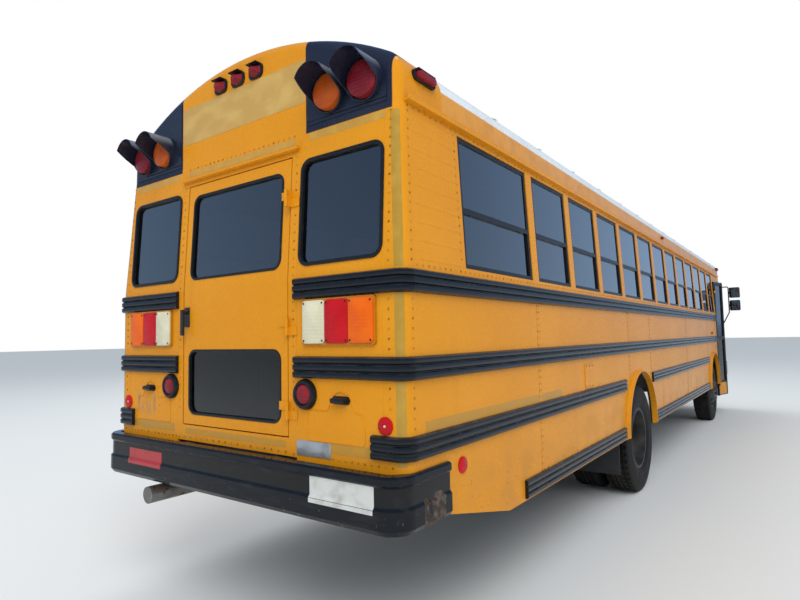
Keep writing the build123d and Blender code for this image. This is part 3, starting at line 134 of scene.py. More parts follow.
# %% Pale floor
floor_mesh = bpy.data.meshes.new("floor")
floor_bm = bmesh.new()
bmesh.ops.create_grid(floor_bm, x_segments=1, y_segments=1, size=150)
floor_bm.to_mesh(floor_mesh)
floor_bm.free()
floor = bpy.data.objects.new("floor", floor_mesh)
scene.collection.objects.link(floor)
floor_paint = bpy.data.materials.new("pale_floor")
floor_paint.use_nodes = True
floor_shader = floor_paint.node_tree.nodes["Principled BSDF"]
floor_shader.inputs["Base Color"].default_value = (0.8, 0.8, 0.79, 1)
floor_shader.inputs["Roughness"].default_value = 0.9
floor_mesh.materials.append(floor_paint)

# %% [markdown]
# ## A way to write finishes
# Every finish is a Principled shader whose colour, roughness and bump come from noise on the Object
# coordinates. All pieces lie in one frame, so one pattern runs on unbroken from a wall into a door.
# A small class keeps each recipe to a few lines; the nodes it makes are plain ones.

# %% Finish: a short hand for node materials
class Finish:
    def __init__(self, name, colour, roughness, metallic=0.0):
        self.material = bpy.data.materials.new(name)
        self.material.use_nodes = True
        tree = self.material.node_tree
        self.nodes = tree.nodes
        self.links = tree.links
        self.shader = tree.nodes["Principled BSDF"]
        self.place = self.nodes.new("ShaderNodeTexCoord").outputs["Object"]
        self.relief = None
        self.shader.inputs["Base Color"].default_value = (*colour, 1)
        self.shader.inputs["Roughness"].default_value = roughness
        self.shader.inputs["Metallic"].default_value = metallic

    def feed(self, socket, value):
        if isinstance(value, bpy.types.NodeSocket):
            self.links.new(value, socket)
        elif isinstance(value, tuple) and len(value) == 3 and socket.type == "RGBA":
            socket.default_value = (*value, 1)
        else:
            socket.default_value = value

    def math(self, operation, *values):
        node = self.nodes.new("ShaderNodeMath")
        node.operation = operation
        for socket, value in zip(node.inputs, values):
            self.feed(socket, value)
        return node.outputs[0]

    def fold(self, operation, *values):
        result = values[0]
        for value in values[1:]:
            result = self.math(operation, result, value)
        return result

    def times(self, *values):
        return self.fold("MULTIPLY", *values)

    def most(self, *values):
        return self.fold("MAXIMUM", *values)

    def split(self, vector):
        node = self.nodes.new("ShaderNodeSeparateXYZ")
        self.links.new(vector, node.inputs[0])
        return node.outputs[0], node.outputs[1], node.outputs[2]

    def axes(self):
        return self.split(self.place)

    def facing_up(self):
        return self.split(self.nodes.new("ShaderNodeNewGeometry").outputs["Normal"])[2]

    def stretched(self, stretch):
        node = self.nodes.new("ShaderNodeMapping")
        self.links.new(self.place, node.inputs["Vector"])
        node.inputs["Scale"].default_value = stretch
        return node.outputs[0]

    def noise(self, scale, detail=3.0, stretch=(1, 1, 1)):
        node = self.nodes.new("ShaderNodeTexNoise")
        self.links.new(self.stretched(stretch), node.inputs["Vector"])
        node.inputs["Scale"].default_value = scale
        node.inputs["Detail"].default_value = detail
        return node.outputs[0]

    def cells(self, scale, stretch=(1, 1, 1)):
        node = self.nodes.new("ShaderNodeTexVoronoi")
        self.links.new(self.stretched(stretch), node.inputs["Vector"])
        node.inputs["Scale"].default_value = scale
        return node.outputs["Distance"]

    def between(self, value, low, high, top=1.0):
        node = self.nodes.new("ShaderNodeMapRange")
        node.interpolation_type = "SMOOTHSTEP"
        self.feed(node.inputs["Value"], value)
        node.inputs["From Min"].default_value = low
        node.inputs["From Max"].default_value = high
        node.inputs["To Max"].default_value = top
        return node.outputs[0]

    def band(self, value, low, high, soft):
        rises = self.between(value, low - soft, low + soft)
        falls = self.between(value, high + soft, high - soft)
        return self.times(rises, falls)

    def ribs(self, value, pitch):
        turns = self.times(value, 2 * math.pi / pitch)
        return self.math("MULTIPLY_ADD", self.math("SINE", turns), 0.5, 0.5)

    def mix(self, share, first, second):
        node = self.nodes.new("ShaderNodeMix")
        node.data_type = "RGBA"
        self.feed(node.inputs["Factor"], share)
        self.feed(node.inputs[6], first)
        self.feed(node.inputs[7], second)
        return node.outputs[2]

    def bump(self, height, depth, strength=1.0):
        node = self.nodes.new("ShaderNodeBump")
        node.inputs["Distance"].default_value = depth
        node.inputs["Strength"].default_value = strength
        self.feed(node.inputs["Height"], height)
        if self.relief:
            self.links.new(self.relief, node.inputs["Normal"])
        self.relief = node.outputs[0]
        self.links.new(self.relief, self.shader.inputs["Normal"])

    def colour(self, value):
        self.links.new(value, self.shader.inputs["Base Color"])

    def gloss(self, share, low, high):
        rough = self.math("MULTIPLY_ADD", share, high - low, low)
        self.links.new(rough, self.shader.inputs["Roughness"])

    def extra(self, **values):
        for name, value in values.items():
            self.shader.inputs[name.replace("_", " ")].default_value = value
        return self


def patchy(name, base, rough, patches, edges, tones, gloss, metallic=0.0):
    # A finish in two tones: noise makes the patches, and the gloss follows them.
    finish = Finish(name, base, rough, metallic)
    share = finish.between(finish.noise(*patches), *edges)
    finish.colour(finish.mix(share, *tones))
    finish.gloss(share, *gloss)
    return finish


def dress(finish, *node_names):
    for node_name in node_names:
        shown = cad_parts[node_name]
        for slot in shown.material_slots:
            slot.link = "OBJECT"
            slot.material = finish.material
        if not shown.material_slots:
            shown.data.materials.append(finish.material)
    print(finish.material.name, "on", len(node_names), "CAD nodes")


# %% [markdown]
# ## Old bus yellow
# The paint is a gloss yellow that has chalked in the sun and gathered brown dust near the road. The
# sheet's inner side is a pale lining, and one material can hold both: it compares the point with the
# shell's outer face, which is known from the CAD. Fine ribs on the panel between the rear corner and
# the first window are pressed lines 2 mm deep, which is bump work and not geometry.

# %% Yellow paint with its pale lining
belt, eave = 1.906, 2.700
crown_radius, crown_centre = 2.1095, 1.1525
seams_y = (4.244, 1.980, 1.070, -1.194, -3.290)


def under_crown(paint, x, z):
    # 1 where a point lies more than 20 mm inside the round of the roof, and 0 elsewhere.
    up = paint.math("SUBTRACT", z, crown_centre)
    reach = paint.math("SQRT", paint.math("ADD", paint.times(x, x), paint.times(up, up)))
    return paint.math("LESS_THAN", reach, crown_radius - 0.02)


def bus_yellow(name, has_lining=True):
    paint = Finish(name, (0.78, 0.33, 0.025), 0.3)
    x, y, z = paint.axes()
    clouds = paint.noise(0.9, 3)
    streaks = paint.noise(9, 3, (1, 1, 0.05))
    specks = paint.noise(70, 2)
    faded = paint.mix(paint.between(clouds, 0.35, 0.75), (0.72, 0.275, 0.008), (0.78, 0.315, 0.013))
    streaked = paint.mix(paint.between(streaks, 0.55, 0.8, 0.35), faded, (0.58, 0.225, 0.010))
    low = paint.between(z, 1.25, 0.60, 0.55)
    dust = paint.times(low, paint.between(paint.noise(5, 5), 0.38, 0.72))
    dusty = paint.mix(dust, streaked, (0.44, 0.205, 0.035))
    chips = paint.times(paint.between(paint.noise(38, 2), 0.70, 0.73), paint.between(z, 1.05, 0.7))
    lap = paint.most(*(paint.band(y, seam + 0.018, seam + 0.0205, 0.0008) for seam in seams_y))
    below = paint.times(lap, 0.6, paint.between(z, 1.90, 1.88))
    lapped = paint.mix(below, dusty, (0.20, 0.075, 0.008))
    outside = paint.mix(chips, lapped, (0.10, 0.035, 0.014))
    board_x = paint.band(paint.math("ABSOLUTE", x), 0.556, 1.117, 0.002)
    board = paint.times(board_x, paint.between(z, 2.664, 2.668), paint.between(y, 5.58, 5.585))
    nose_board = paint.times(board_x, paint.between(z, 2.704, 2.708), paint.between(y, -5.50, -5.505))
    navy = paint.mix(paint.between(clouds, 0.35, 0.75), (0.013, 0.017, 0.034), (0.030, 0.036, 0.058))
    outside = paint.mix(paint.most(board, nose_board), outside, navy)
    smear = paint.times(paint.band(x, 0.72, 0.98, 0.03), paint.band(z, 1.14, 1.265, 0.03))
    smeared = paint.times(smear, paint.between(paint.noise(26, 4, (1, 1, 0.2)), 0.42, 0.62, 0.75))
    outside = paint.mix(paint.times(smeared, paint.between(y, 5.6, 5.7)), outside, (0.30, 0.21, 0.14))
    if has_lining:
        over_belt = paint.most(paint.math("SUBTRACT", z, belt), 0.0)
        side_gap = paint.math("MULTIPLY_ADD", over_belt, 0.0504, paint.math("ABSOLUTE", x))
        deep_side = paint.math("LESS_THAN", side_gap, 1.178)
        tail_gap = paint.math("MULTIPLY_ADD", over_belt, 0.0592, y)
        deep_tail = paint.math("LESS_THAN", tail_gap, 5.732)
        deep_nose = paint.math("GREATER_THAN", paint.math("MULTIPLY_ADD", over_belt, -0.0738, y), -5.640)
        inside = paint.times(deep_side, deep_tail, deep_nose, under_crown(paint, x, z))
        clean = paint.mix(paint.between(clouds, 0.3, 0.7), (0.52, 0.50, 0.42), (0.60, 0.58, 0.50))
        over_wheels = paint.most(paint.band(y, -4.55, -3.24, 0.01), paint.band(y, 0.96, 2.28, 0.01))
        pale_from = paint.math("MULTIPLY_ADD", over_wheels, 0.23, 1.030)
        lining = paint.mix(paint.math("GREATER_THAN", z, pale_from), (0.045, 0.036, 0.026), clean)
        outside = paint.mix(inside, outside, lining)
    paint.colour(outside)
    paint.gloss(paint.most(dust, paint.between(specks, 0.4, 0.7, 0.5)), 0.24, 0.62)
    paint.bump(paint.noise(2.2, 2), 0.012, 0.12)
    paint.bump(specks, 0.0006, 0.25)
    ribbed = paint.times(paint.band(y, 5.23, 5.62, 0.004), paint.band(z, 1.95, 2.66, 0.004))
    paint.bump(paint.times(ribbed, paint.between(paint.ribs(z, 0.088), 0.90, 1.0)), 0.003, 0.5)
    return paint.extra(Specular_IOR_Level=0.16)


yellow = bus_yellow("bus_yellow")
dress(yellow, "left_side_wall", "right_side_wall", "rear_wall", "front_wall")
dress(yellow, "rear_roof_cap", "front_roof_cap")
trim_yellow = bus_yellow("bus_yellow_trim", has_lining=False)
dress(trim_yellow, "drip_rails", "hinge_brackets")

# %% [markdown]
# The door leaf has a copy of the paint. The pattern is tied to the shared frame, so it runs on
# across the gap between the leaf and the wall.

# %% Paint of the emergency door
door_yellow = bus_yellow("bus_yellow_door")
dress(door_yellow, "rear_emergency_door")

# %% [markdown]
# ## White roof
# Fleets paint the roof white against the heat. The sides of the roof stay yellow up to a masked
# line, so one material mixes the two by height, and a little dirt has run down from the seams.

# %% Roof paint
def roof_paint():
    paint = Finish("roof_white", (0.80, 0.82, 0.82), 0.4)
    x, _, z = paint.axes()
    stains = paint.between(paint.noise(2.4, 5), 0.45, 0.8, 0.5)
    white_coat = paint.mix(stains, (0.80, 0.83, 0.84), (0.52, 0.53, 0.50))
    blotches = paint.between(paint.noise(9, 3), 0.4, 0.7)
    yellow_coat = paint.mix(blotches, (0.76, 0.315, 0.02), (0.66, 0.27, 0.025))
    masked = paint.between(paint.math("MULTIPLY_ADD", paint.noise(60, 2), 0.006, z), 2.856, 2.868)
    outside = paint.mix(masked, yellow_coat, white_coat)
    inner_side = paint.math("LESS_THAN", paint.math("ABSOLUTE", x), 1.128)
    deep = paint.times(inner_side, under_crown(paint, x, z))
    paint.colour(paint.mix(deep, outside, (0.55, 0.53, 0.46)))
    paint.gloss(stains, 0.3, 0.65)
    paint.bump(paint.noise(3, 2), 0.01, 0.12)
    return paint


roof_white = roof_paint()
dress(roof_white, "roof_panel", "front_roof_hatch", "rear_roof_hatch")

# %% [markdown]
# ## Black trim
# The rub rails and the bumpers are gloss black over pressed steel. Rails are brushed by branches along
# their length, so their scratches are noise stretched along Y, and dust lies on what faces upwards.
# A wave in the bump rounds the flat tops of the three ribs.

# %% Rails, bumpers and hoods
def worn_black(name, base, rough, along=(30, 0.6, 30), scuffs=0.5, dust_share=0.35):
    paint = Finish(name, base, rough)
    scratches = paint.between(paint.noise(1, 4, along), 0.60, 0.82, scuffs)
    scraped = paint.mix(scratches, base, (0.05, 0.054, 0.06))
    shelf = paint.between(paint.facing_up(), 0.35, 0.95, dust_share)
    powder = paint.times(shelf, paint.between(paint.noise(12, 4), 0.3, 0.65))
    paint.colour(paint.mix(powder, scraped, (0.24, 0.215, 0.18)))
    paint.gloss(paint.most(scratches, powder), rough, rough + 0.4)
    paint.bump(paint.noise(5, 3), 0.004, 0.2)
    return paint.extra(Specular_IOR_Level=0.28)


rail_black = worn_black("rail_black", (0.007, 0.010, 0.015), 0.22, (60, 2, 60), 0.18, 0.15)
rib_pitch, rail_half, lowest_rail_z = 0.036, 0.057, 0.668
rails_z = (1.850, 1.455, 1.104)
rail_up = rail_black.axes()[2]
crests = []
for rail_z in (*rails_z, lowest_rail_z):
    wave = rail_black.ribs(rail_black.math("SUBTRACT", rail_up, rail_z - rib_pitch / 4), rib_pitch)
    on_rail = rail_black.band(rail_up, rail_z - rail_half, rail_z + rail_half, 0.0005)
    crests.append(rail_black.times(on_rail, wave))
rail_black.bump(rail_black.fold("ADD", *crests), 0.006, 0.6)
dress(rail_black, "rub_rails")


def bumper_black():
    paint = Finish("bumper_black", (0.016, 0.018, 0.022), 0.25)
    x, y, z = paint.axes()
    recess = paint.band(z, 0.872, 0.950, 0.004)
    scuffed = paint.between(paint.noise(7, 4, (1, 4, 5)), 0.52, 0.80, 0.28)
    # Painted reflection: the recessed band is a little lighter and warmer, for the brown ground it mirrors.
    recess_reflection = paint.mix(paint.times(recess, 0.5), (0.008, 0.010, 0.014), (0.018, 0.017, 0.016))
    grey = paint.mix(scuffed, recess_reflection, (0.05, 0.05, 0.052))
    corner = paint.times(paint.band(x, -1.235, -1.15, 0.012), paint.band(y, 5.46, 5.66, 0.03))
    torn = paint.times(corner, paint.band(z, 0.70, 0.89, 0.035))
    ragged = paint.between(paint.times(torn, paint.noise(11, 4)), 0.30, 0.40)
    flakes = paint.between(paint.noise(30, 4), 0.4, 0.7)
    rust = paint.mix(flakes, (0.055, 0.032, 0.022), (0.13, 0.11, 0.095))
    stones = paint.times(paint.between(paint.noise(45, 3), 0.66, 0.70), paint.between(z, 0.90, 0.76))
    chipped = paint.mix(stones, grey, (0.12, 0.09, 0.07))
    paint.colour(paint.mix(ragged, chipped, rust))
    paint.gloss(paint.most(ragged, scuffed), 0.12, 0.6)
    paint.bump(paint.noise(2.6, 3), 0.012, 0.3)
    paint.bump(paint.times(ragged, -1.0), 0.002, 0.6)
    return paint.extra(Specular_IOR_Level=0.16)


bumper_paint = bumper_black()
dress(bumper_paint, "rear_bumper", "front_bumper")
gloss_black = worn_black("gloss_black", (0.02, 0.02, 0.023), 0.28, (4, 4, 4), 0.3)
dress(gloss_black, "front_grille", "rear_door_handle", "mirrors")
dress(gloss_black, "service_door_rear_leaf", "service_door_front_leaf")

# %% [markdown]
# The lamp boards and hoods are painted a blue black that has gone matt. The crease where the board
# folds over the wall's top edge is a thin band in the bump, with a near-black band in the colour as
# painted shade. The tops of the hoods are painted light grey as a painted sky reflection, and the
# frames of the tail lamps are the body colour darkened as painted shade beside the lenses.

# %% Lamp boards
def board_finish():
    paint = Finish("lamp_board", (0.022, 0.026, 0.045), 0.3)
    _, y, z = paint.axes()
    crease = paint.band(z, 2.722, 2.729, 0.002)
    worn = paint.between(paint.noise(8, 4), 0.5, 0.8, 0.4)
    painted = paint.mix(worn, (0.013, 0.017, 0.034), (0.034, 0.039, 0.058))
    # Painted sky reflection: faces near the tail that look up are painted light grey.
    sky_reflection_tops = paint.times(paint.between(paint.facing_up(), 0.15, 0.75, 0.7), paint.between(y, 5.715, 5.73))
    with_sky_reflection = paint.mix(sky_reflection_tops, painted, (0.26, 0.27, 0.29))
    # Painted shade: a near-black band in the colour along the crease.
    crease_shaded = paint.mix(crease, with_sky_reflection, (0.004, 0.004, 0.005))
    # Painted shade: the frames of the tail lamps are body yellow darkened beside the lenses.
    shaded_bezel = paint.band(z, 1.50, 1.85, 0.001)
    paint.colour(paint.mix(shaded_bezel, crease_shaded, (0.50, 0.19, 0.008)))
    paint.gloss(worn, 0.25, 0.6)
    paint.bump(paint.times(crease, -1.0), 0.004, 0.8)
    paint.bump(paint.noise(4, 3), 0.003, 0.2)
    return paint.extra(Specular_IOR_Level=0.35)


lamp_board = board_finish()
dress(lamp_board, "lamp_housings")

# %% [markdown]
# ## Glass
# The panes are tinted dark and mirror the sky. They are real glass in the shader: light passes both
# faces and loses most of itself to the tint, so the seats inside only just show. A film of dust on
# the outside raises the roughness in patches. Panes below the belt mirror the dark ground, so theirs
# is weaker.

# %% Tinted glass
def tinted(name, tint, dust_share):
    glass = Finish(name, tint, 0.03)
    film = glass.between(glass.noise(3, 5, (1, 1, 0.5)), 0.45, 0.8, dust_share)
    glass.gloss(film, 0.02, 0.4)
    glass.bump(glass.noise(1.5, 1), 0.004, 0.08)
    open_sky = glass.math("MULTIPLY_ADD", glass.between(glass.axes()[2], 1.55, 1.90), 0.85, 0.15)
    glass.links.new(open_sky, glass.shader.inputs["Coat Weight"])
    glass.links.new(glass.times(open_sky, 0.5), glass.shader.inputs["Specular IOR Level"])
    return glass.extra(Transmission_Weight=1.0, IOR=1.45, Coat_IOR=1.75, Coat_Roughness=0.03)


side_glass = tinted("side_glass", (0.055, 0.085, 0.12), 0.25)
tail_glass = tinted("tail_glass", (0.045, 0.065, 0.085), 0.45)
dress(side_glass, "window_glass", "service_door_rear_glass", "service_door_front_glass")
dress(tail_glass, "rear_door_glass")
sash_black = worn_black("sash_black", (0.012, 0.012, 0.014), 0.35, (8, 1, 8), 0.35, 0.25)
dress(sash_black, "window_sashes")

# %% [markdown]
# ## Underneath and inside
# The chassis is black enamel under road dust, with rust where stones hit it. One recipe serves all of
# it, because the base colour, the dust and the rust are its three values.

# %% Chassis, steel and cast iron
def road_worn(name, base, dust, rust_share, rough=0.55, metallic=0.0):
    paint = Finish(name, base, rough, metallic)
    powder = paint.between(paint.noise(6, 5), 0.35, 0.7, 0.7)
    rusty = paint.between(paint.noise(17, 5), 0.58, 0.70, rust_share)
    dusty = paint.mix(powder, base, dust)
    paint.colour(paint.mix(rusty, dusty, (0.14, 0.055, 0.022)))
    paint.gloss(paint.most(powder, rusty), rough, 0.92)
    paint.bump(paint.noise(45, 4), 0.001, 0.4)
    return paint


chassis_paint = road_worn("chassis_paint", (0.03, 0.03, 0.032), (0.10, 0.085, 0.07), 0.5)
dress(chassis_paint, "chassis_frame", "front_axle", "front_knuckle_left", "front_knuckle_right", "rear_axle")
dress(chassis_paint, "leaf_springs", "driveshaft", "fuel_tank")
pipe_steel = road_worn("pipe_steel", (0.30, 0.29, 0.27), (0.20, 0.18, 0.15), 0.9, 0.45, 0.8)
dress(pipe_steel, "exhaust_pipe", "radiator")
cast_iron = road_worn("cast_iron", (0.12, 0.12, 0.115), (0.12, 0.10, 0.08), 0.6, 0.6, 0.3)
dress(cast_iron, "engine_block")
wheel_black = road_worn("wheel_black", (0.022, 0.022, 0.023), (0.10, 0.092, 0.082), 0.15, 0.5)
dress(wheel_black, "front_wheel_left", "front_wheel_right", "rear_wheels_left", "rear_wheels_right")
seat_tube = road_worn("seat_tube", (0.05, 0.052, 0.055), (0.10, 0.095, 0.09), 0.05, 0.4)
dress(seat_tube, "seat_frames")

# %% [markdown]
# The floor covering is black rubber with ribs that run along the aisle, 12 mm apart. The dash, the
# engine cover and the steering wheel are grained plastic: small cells give the grain.

# %% Floor rubber and moulded plastic
def grained(name, colour, rough):
    pale = tuple(min(1, value * 1.5 + 0.02) for value in colour)
    gloss = (rough, min(1, rough + 0.25))
    plastic = patchy(name, colour, rough, (5, 3), (0.45, 0.75, 0.5), (colour, pale), gloss)
    plastic.bump(plastic.cells(420), 0.0004, 0.5)
    return plastic


floor_tones = ((0.028, 0.028, 0.028), (0.085, 0.08, 0.072))
floor_rubber = patchy("floor_rubber", (0.03, 0.03, 0.03), 0.7, (3, 4), (0.4, 0.75), floor_tones, (0.55, 0.9))
floor_rubber.bump(floor_rubber.ribs(floor_rubber.axes()[0], 0.012), 0.0015, 0.6)
dress(floor_rubber, "floor_deck", "stepwell", "wheelhouses")
trim_grey = grained("trim_grey", (0.11, 0.11, 0.115), 0.55)
dress(trim_grey, "dashboard", "engine_cover")
black_plastic = grained("black_plastic", (0.016, 0.016, 0.017), 0.45)
dress(black_plastic, "steering_wheel", "mudflaps")


def sign_red():
    paint = Finish("sign_red", (0.5, 0.02, 0.02), 0.4)
    _, y, z = paint.axes()
    across = paint.math("ABSOLUTE", paint.math("ADD", y, 4.1915))
    up = paint.math("ABSOLUTE", paint.math("SUBTRACT", z, 1.652))
    corner = paint.times(paint.math("ADD", across, up), 0.7071)
    rim = paint.between(paint.most(across, up, corner), 0.196, 0.1975)
    worn = paint.between(paint.noise(20, 4), 0.5, 0.8, 0.4)
    red = paint.mix(worn, (0.50, 0.012, 0.015), (0.38, 0.04, 0.03))
    paint.colour(paint.mix(rim, red, (0.75, 0.75, 0.72)))
    paint.gloss(worn, 0.3, 0.6)
    return paint


stop_red = sign_red()
dress(stop_red, "stop_arm")

# %% [markdown]
# ## A small shop of shapes
# Most details are flat things on a wall: tapes, plates, lenses, gaskets. Each starts as one square
# face, its corners are rounded by a vertex bevel, it is extruded to its thickness and its front edge
# is softened. The finished shape is then carried to its place on the wall by one matrix.

# %% Helpers for pieces
def settle(bm, name, body, finish, smooth_angle=None):
    bmesh.ops.recalc_face_normals(bm, faces=bm.faces)
    mesh = bpy.data.meshes.new(name)
    for face in bm.faces:
        face.smooth = smooth_angle is not None
    bm.to_mesh(mesh)
    bm.free()
    if smooth_angle:
        mesh.set_sharp_from_angle(angle=math.radians(smooth_angle))
    mesh.materials.append(finish.material)
    piece = bpy.data.objects.new(name, mesh)
    scene.collection.objects.link(piece)
    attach(piece, body)
    print(name, len(mesh.polygons), "faces on", body)
    return piece


def carry(bm, shape, place):
    shape.transform(place)
    spare = bpy.data.meshes.new("spare")
    shape.to_mesh(spare)
    shape.free()
    bm.from_mesh(spare)
    bpy.data.meshes.remove(spare)


def thicken(shape, thick):
    made = bmesh.ops.extrude_face_region(shape, geom=list(shape.faces))
    lifted = [part for part in made["geom"] if isinstance(part, bmesh.types.BMVert)]
    bmesh.ops.translate(shape, vec=(0, 0, thick), verts=lifted)


def plate(width, height, thick, radius=0.0, soften=0.0, rim=0.0, corner_steps=4):
    shape = bmesh.new()
    bmesh.ops.create_grid(shape, x_segments=1, y_segments=1, size=0.5)
    bmesh.ops.scale(shape, vec=(width, height, 1), verts=shape.verts)
    if radius:
        bmesh.ops.bevel(
            shape, geom=list(shape.verts), offset=radius, segments=corner_steps,
            affect="VERTICES", profile=0.5, material=-1,
        )
    if rim:
        outer = max(shape.faces, key=lambda face: face.calc_area())
        bmesh.ops.inset_region(shape, faces=[outer], thickness=rim, use_boundary=True, use_even_offset=True)
        bmesh.ops.delete(shape, geom=[outer], context="FACES_ONLY")
    thicken(shape, thick)
    if soften:
        bmesh.ops.recalc_face_normals(shape, faces=shape.faces)
        top = [edge for edge in shape.edges if all(abs(v.co.z - thick) < 1e-7 for v in edge.verts)]
        front = [edge for edge in top if edge.calc_face_angle(0) > 1.0]
        bmesh.ops.bevel(
            shape, geom=front, offset=soften, segments=2, affect="EDGES", profile=0.5, material=-1,
        )
    return shape


def spun(points, axis, steps, closed=False):
    # A full turn of a row of points about an axis through the origin.
    shape = bmesh.new()
    corners = [shape.verts.new(point) for point in points]
    pairs = list(zip(corners, corners[1:])) + ([(corners[-1], corners[0])] if closed else [])
    edges = [shape.edges.new(pair) for pair in pairs]
    bmesh.ops.spin(
        shape, geom=corners + edges, cent=(0, 0, 0), axis=axis, angle=2 * math.pi,
        steps=steps, use_merge=True, use_duplicate=False,
    )
    bmesh.ops.remove_doubles(shape, verts=shape.verts, dist=1e-6)
    return shape


def turned(profile, steps=32):
    # A round piece: the profile's (radius, height) points are spun about the local Z axis.
    shape = spun([(radius, 0, height) for radius, height in profile], (0, 0, 1), steps)
    bmesh.ops.holes_fill(shape, edges=shape.edges, sides=0)
    return shape


along_x, along_y, along_z = Vector((1, 0, 0)), Vector((0, 1, 0)), Vector((0, 0, 1))


def axes_at(origin, right, up, outward):
    return Matrix.Translation(origin) @ Matrix((right, up, outward)).transposed().to_4x4()


# %% [markdown]
# ## Places on the walls
# The tail and the sides lean inwards above the belt line. Two functions give the matrix of a spot on
# them: its origin on the sheet, its Y up the slope and its Z straight out, so a tape laid there with
# a thickness of half a millimetre follows the lean by itself.

# %% Spots on the tail, the nose and the sides
tail_y, nose_y, half_width = 5.750, -5.690, 1.197
cap_tail_y, cap_nose_y = 5.703, -5.600
tail_slope = math.atan2(0.047, eave - belt)
side_slope = math.atan2(0.040, eave - belt)


def tail_spot(x, z, out=0.0):
    lean = tail_slope if belt < z < eave else 0.0
    y = cap_tail_y if z >= eave else tail_y - max(0.0, z - belt) * math.tan(tail_slope)
    outward = Vector((0, math.cos(lean), math.sin(lean)))
    up = Vector((0, -math.sin(lean), math.cos(lean)))
    return axes_at(Vector((x, y, z)) + outward * out, -along_x, up, outward)


def nose_spot(x, z, y=cap_nose_y, out=0.0):
    return axes_at(Vector((x, y - out, z)), along_x, along_z, -along_y)


def side_spot(side, y, z, out=0.0):
    lean = side_slope if z > belt else 0.0
    x = half_width - max(0.0, z - belt) * math.tan(side_slope)
    outward = Vector((side * math.cos(lean), 0, math.sin(lean)))
    up = Vector((-side * math.sin(lean), 0, math.cos(lean)))
    return axes_at(Vector((side * x, y, z)) + outward * out, side * along_y, up, outward)


print("tail leans", round(math.degrees(tail_slope), 1), "degrees, sides", round(math.degrees(side_slope), 1))

# %% [markdown]
# ## Rivets
# The sheets are held by rows of small dome rivets, about 40 mm apart, painted with the body. Their
# colour is set darker than the body yellow, in two tones: a painted shade on the small domes. There
# are some thousands, so each is only a six-sided cone with its tip cut off: 20 triangles. They are
# written as rows, from one point to another, with the spot functions placing each one on its wall.

# %% Rows of rivets
front_axle_y, rear_axle_y = -3.892, 1.620
arch_z, arch_reach = 0.625, 0.625


def clear_of_rails(z):
    return all(abs(z - rail) > 0.062 for rail in rails_z)


def clear_of_arches(y, z):
    return all(math.hypot(y - axle_y, z - arch_z) > arch_reach for axle_y in (rear_axle_y, front_axle_y))


def rivet(bm, place, radius=0.0070):
    bmesh.ops.create_cone(
        bm, cap_ends=True, segments=6, radius1=radius, radius2=radius * 0.5, depth=0.0036,
        matrix=place @ Matrix.Translation((0, 0, 0.0016)),
    )


def rivet_row(bm, spot, start, end, pitch=0.04):
    # start and end are the two coordinates that the spot function takes.
    length = math.dist(start, end)
    count = max(1, round(length / pitch))
    for index in range(count + 1):
        share = index / count
        rivet(bm, spot(start[0] + (end[0] - start[0]) * share, start[1] + (end[1] - start[1]) * share))


# Painted shade: both rivet tones are darker than the body yellow.
shaded_rivet_tones = ((0.60, 0.23, 0.008), (0.27, 0.095, 0.008))
shaded_rivet_yellow = patchy(
    "shaded_rivet_yellow", (0.50, 0.19, 0.006), 0.4, (30, 3), (0.42, 0.62), shaded_rivet_tones, (0.35, 0.7),
)

tail_rivets = bmesh.new()
for side in (1, -1):
    for x, low, high in ((0.499, 1.02, 2.60), (1.112, 1.19, 2.655)):
        steps = round((high - low) / 0.045)
        for index in range(steps + 1):
            z = low + index * (high - low) / steps
            if clear_of_rails(z):
                rivet(tail_rivets, tail_spot(side * x, z))
    rivet_row(tail_rivets, tail_spot, (side * 0.53, 1.022), (side * 1.12, 1.022))
rivet_row(tail_rivets, tail_spot, (-0.47, 2.672), (0.47, 2.672))
rivet_row(tail_rivets, tail_spot, (-0.44, 1.026), (0.44, 1.026), 0.055)
settle(tail_rivets, "tail_rivets", "body", shaded_rivet_yellow)

side_rivets = bmesh.new()
for side in (1, -1):
    front_end = -5.50 if side > 0 else -4.46
    for y in seams_y:
        for offset in (-0.013, 0.013):
            for index in range(30):
                z = 0.645 + index * 0.0422
                on_rail = not clear_of_rails(z) or (abs(z - lowest_rail_z) < 0.06 and y < 4.5)
                if clear_of_arches(y + offset, z) and not on_rail:
                    rivet(side_rivets, side_spot(side, y + offset, z))
    for z in (1.927, 2.684):
        count = round((5.64 - front_end) / 0.05)
        for index in range(count + 1):
            y = 5.64 - index * (5.64 - front_end) / count
            rivet(side_rivets, side_spot(side, y, z))
    for y in (5.684, 5.222):
        for index in range(34):
            z = 1.19 + index * 0.0445
            behind = max(0.0, z - belt) * math.tan(tail_slope) if y > 5.5 else 0.0
            if clear_of_rails(z) and (y > 5.5 or z > 1.95):
                rivet(side_rivets, side_spot(side, y - behind, z))
settle(side_rivets, "side_rivets", "body", shaded_rivet_yellow)

# %% [markdown]
# ## Lapped seams
# Where two side sheets meet, one lies over the other, and the eye sees a thin step with a rivet row
# on each side. A strip 36 mm wide and less than a millimetre thick gives that step.

# %% Seams of the side sheets
side_seams = bmesh.new()
for side in (1, -1):
    for y in seams_y:
        for low, high in ((0.735, 1.045), (1.163, 1.396), (1.514, 1.791)):
            middle = (low + high) / 2
            arch = min(abs(y - rear_axle_y), abs(y - front_axle_y))
            if arch < 0.62 and high < 1.2:
                continue
            carry(side_seams, plate(0.038, high - low, 0.0008), side_spot(side, y, middle))
for x in (-1.075, 1.075, -0.522, 0.522):
    for low, high in ((1.165, 1.396), (1.514, 1.791), (1.911, 2.64)):
        carry(side_seams, plate(0.0028, high - low, 0.0009), tail_spot(x, (low + high) / 2))
settle(side_seams, "sheet_seams", "body", trim_yellow)

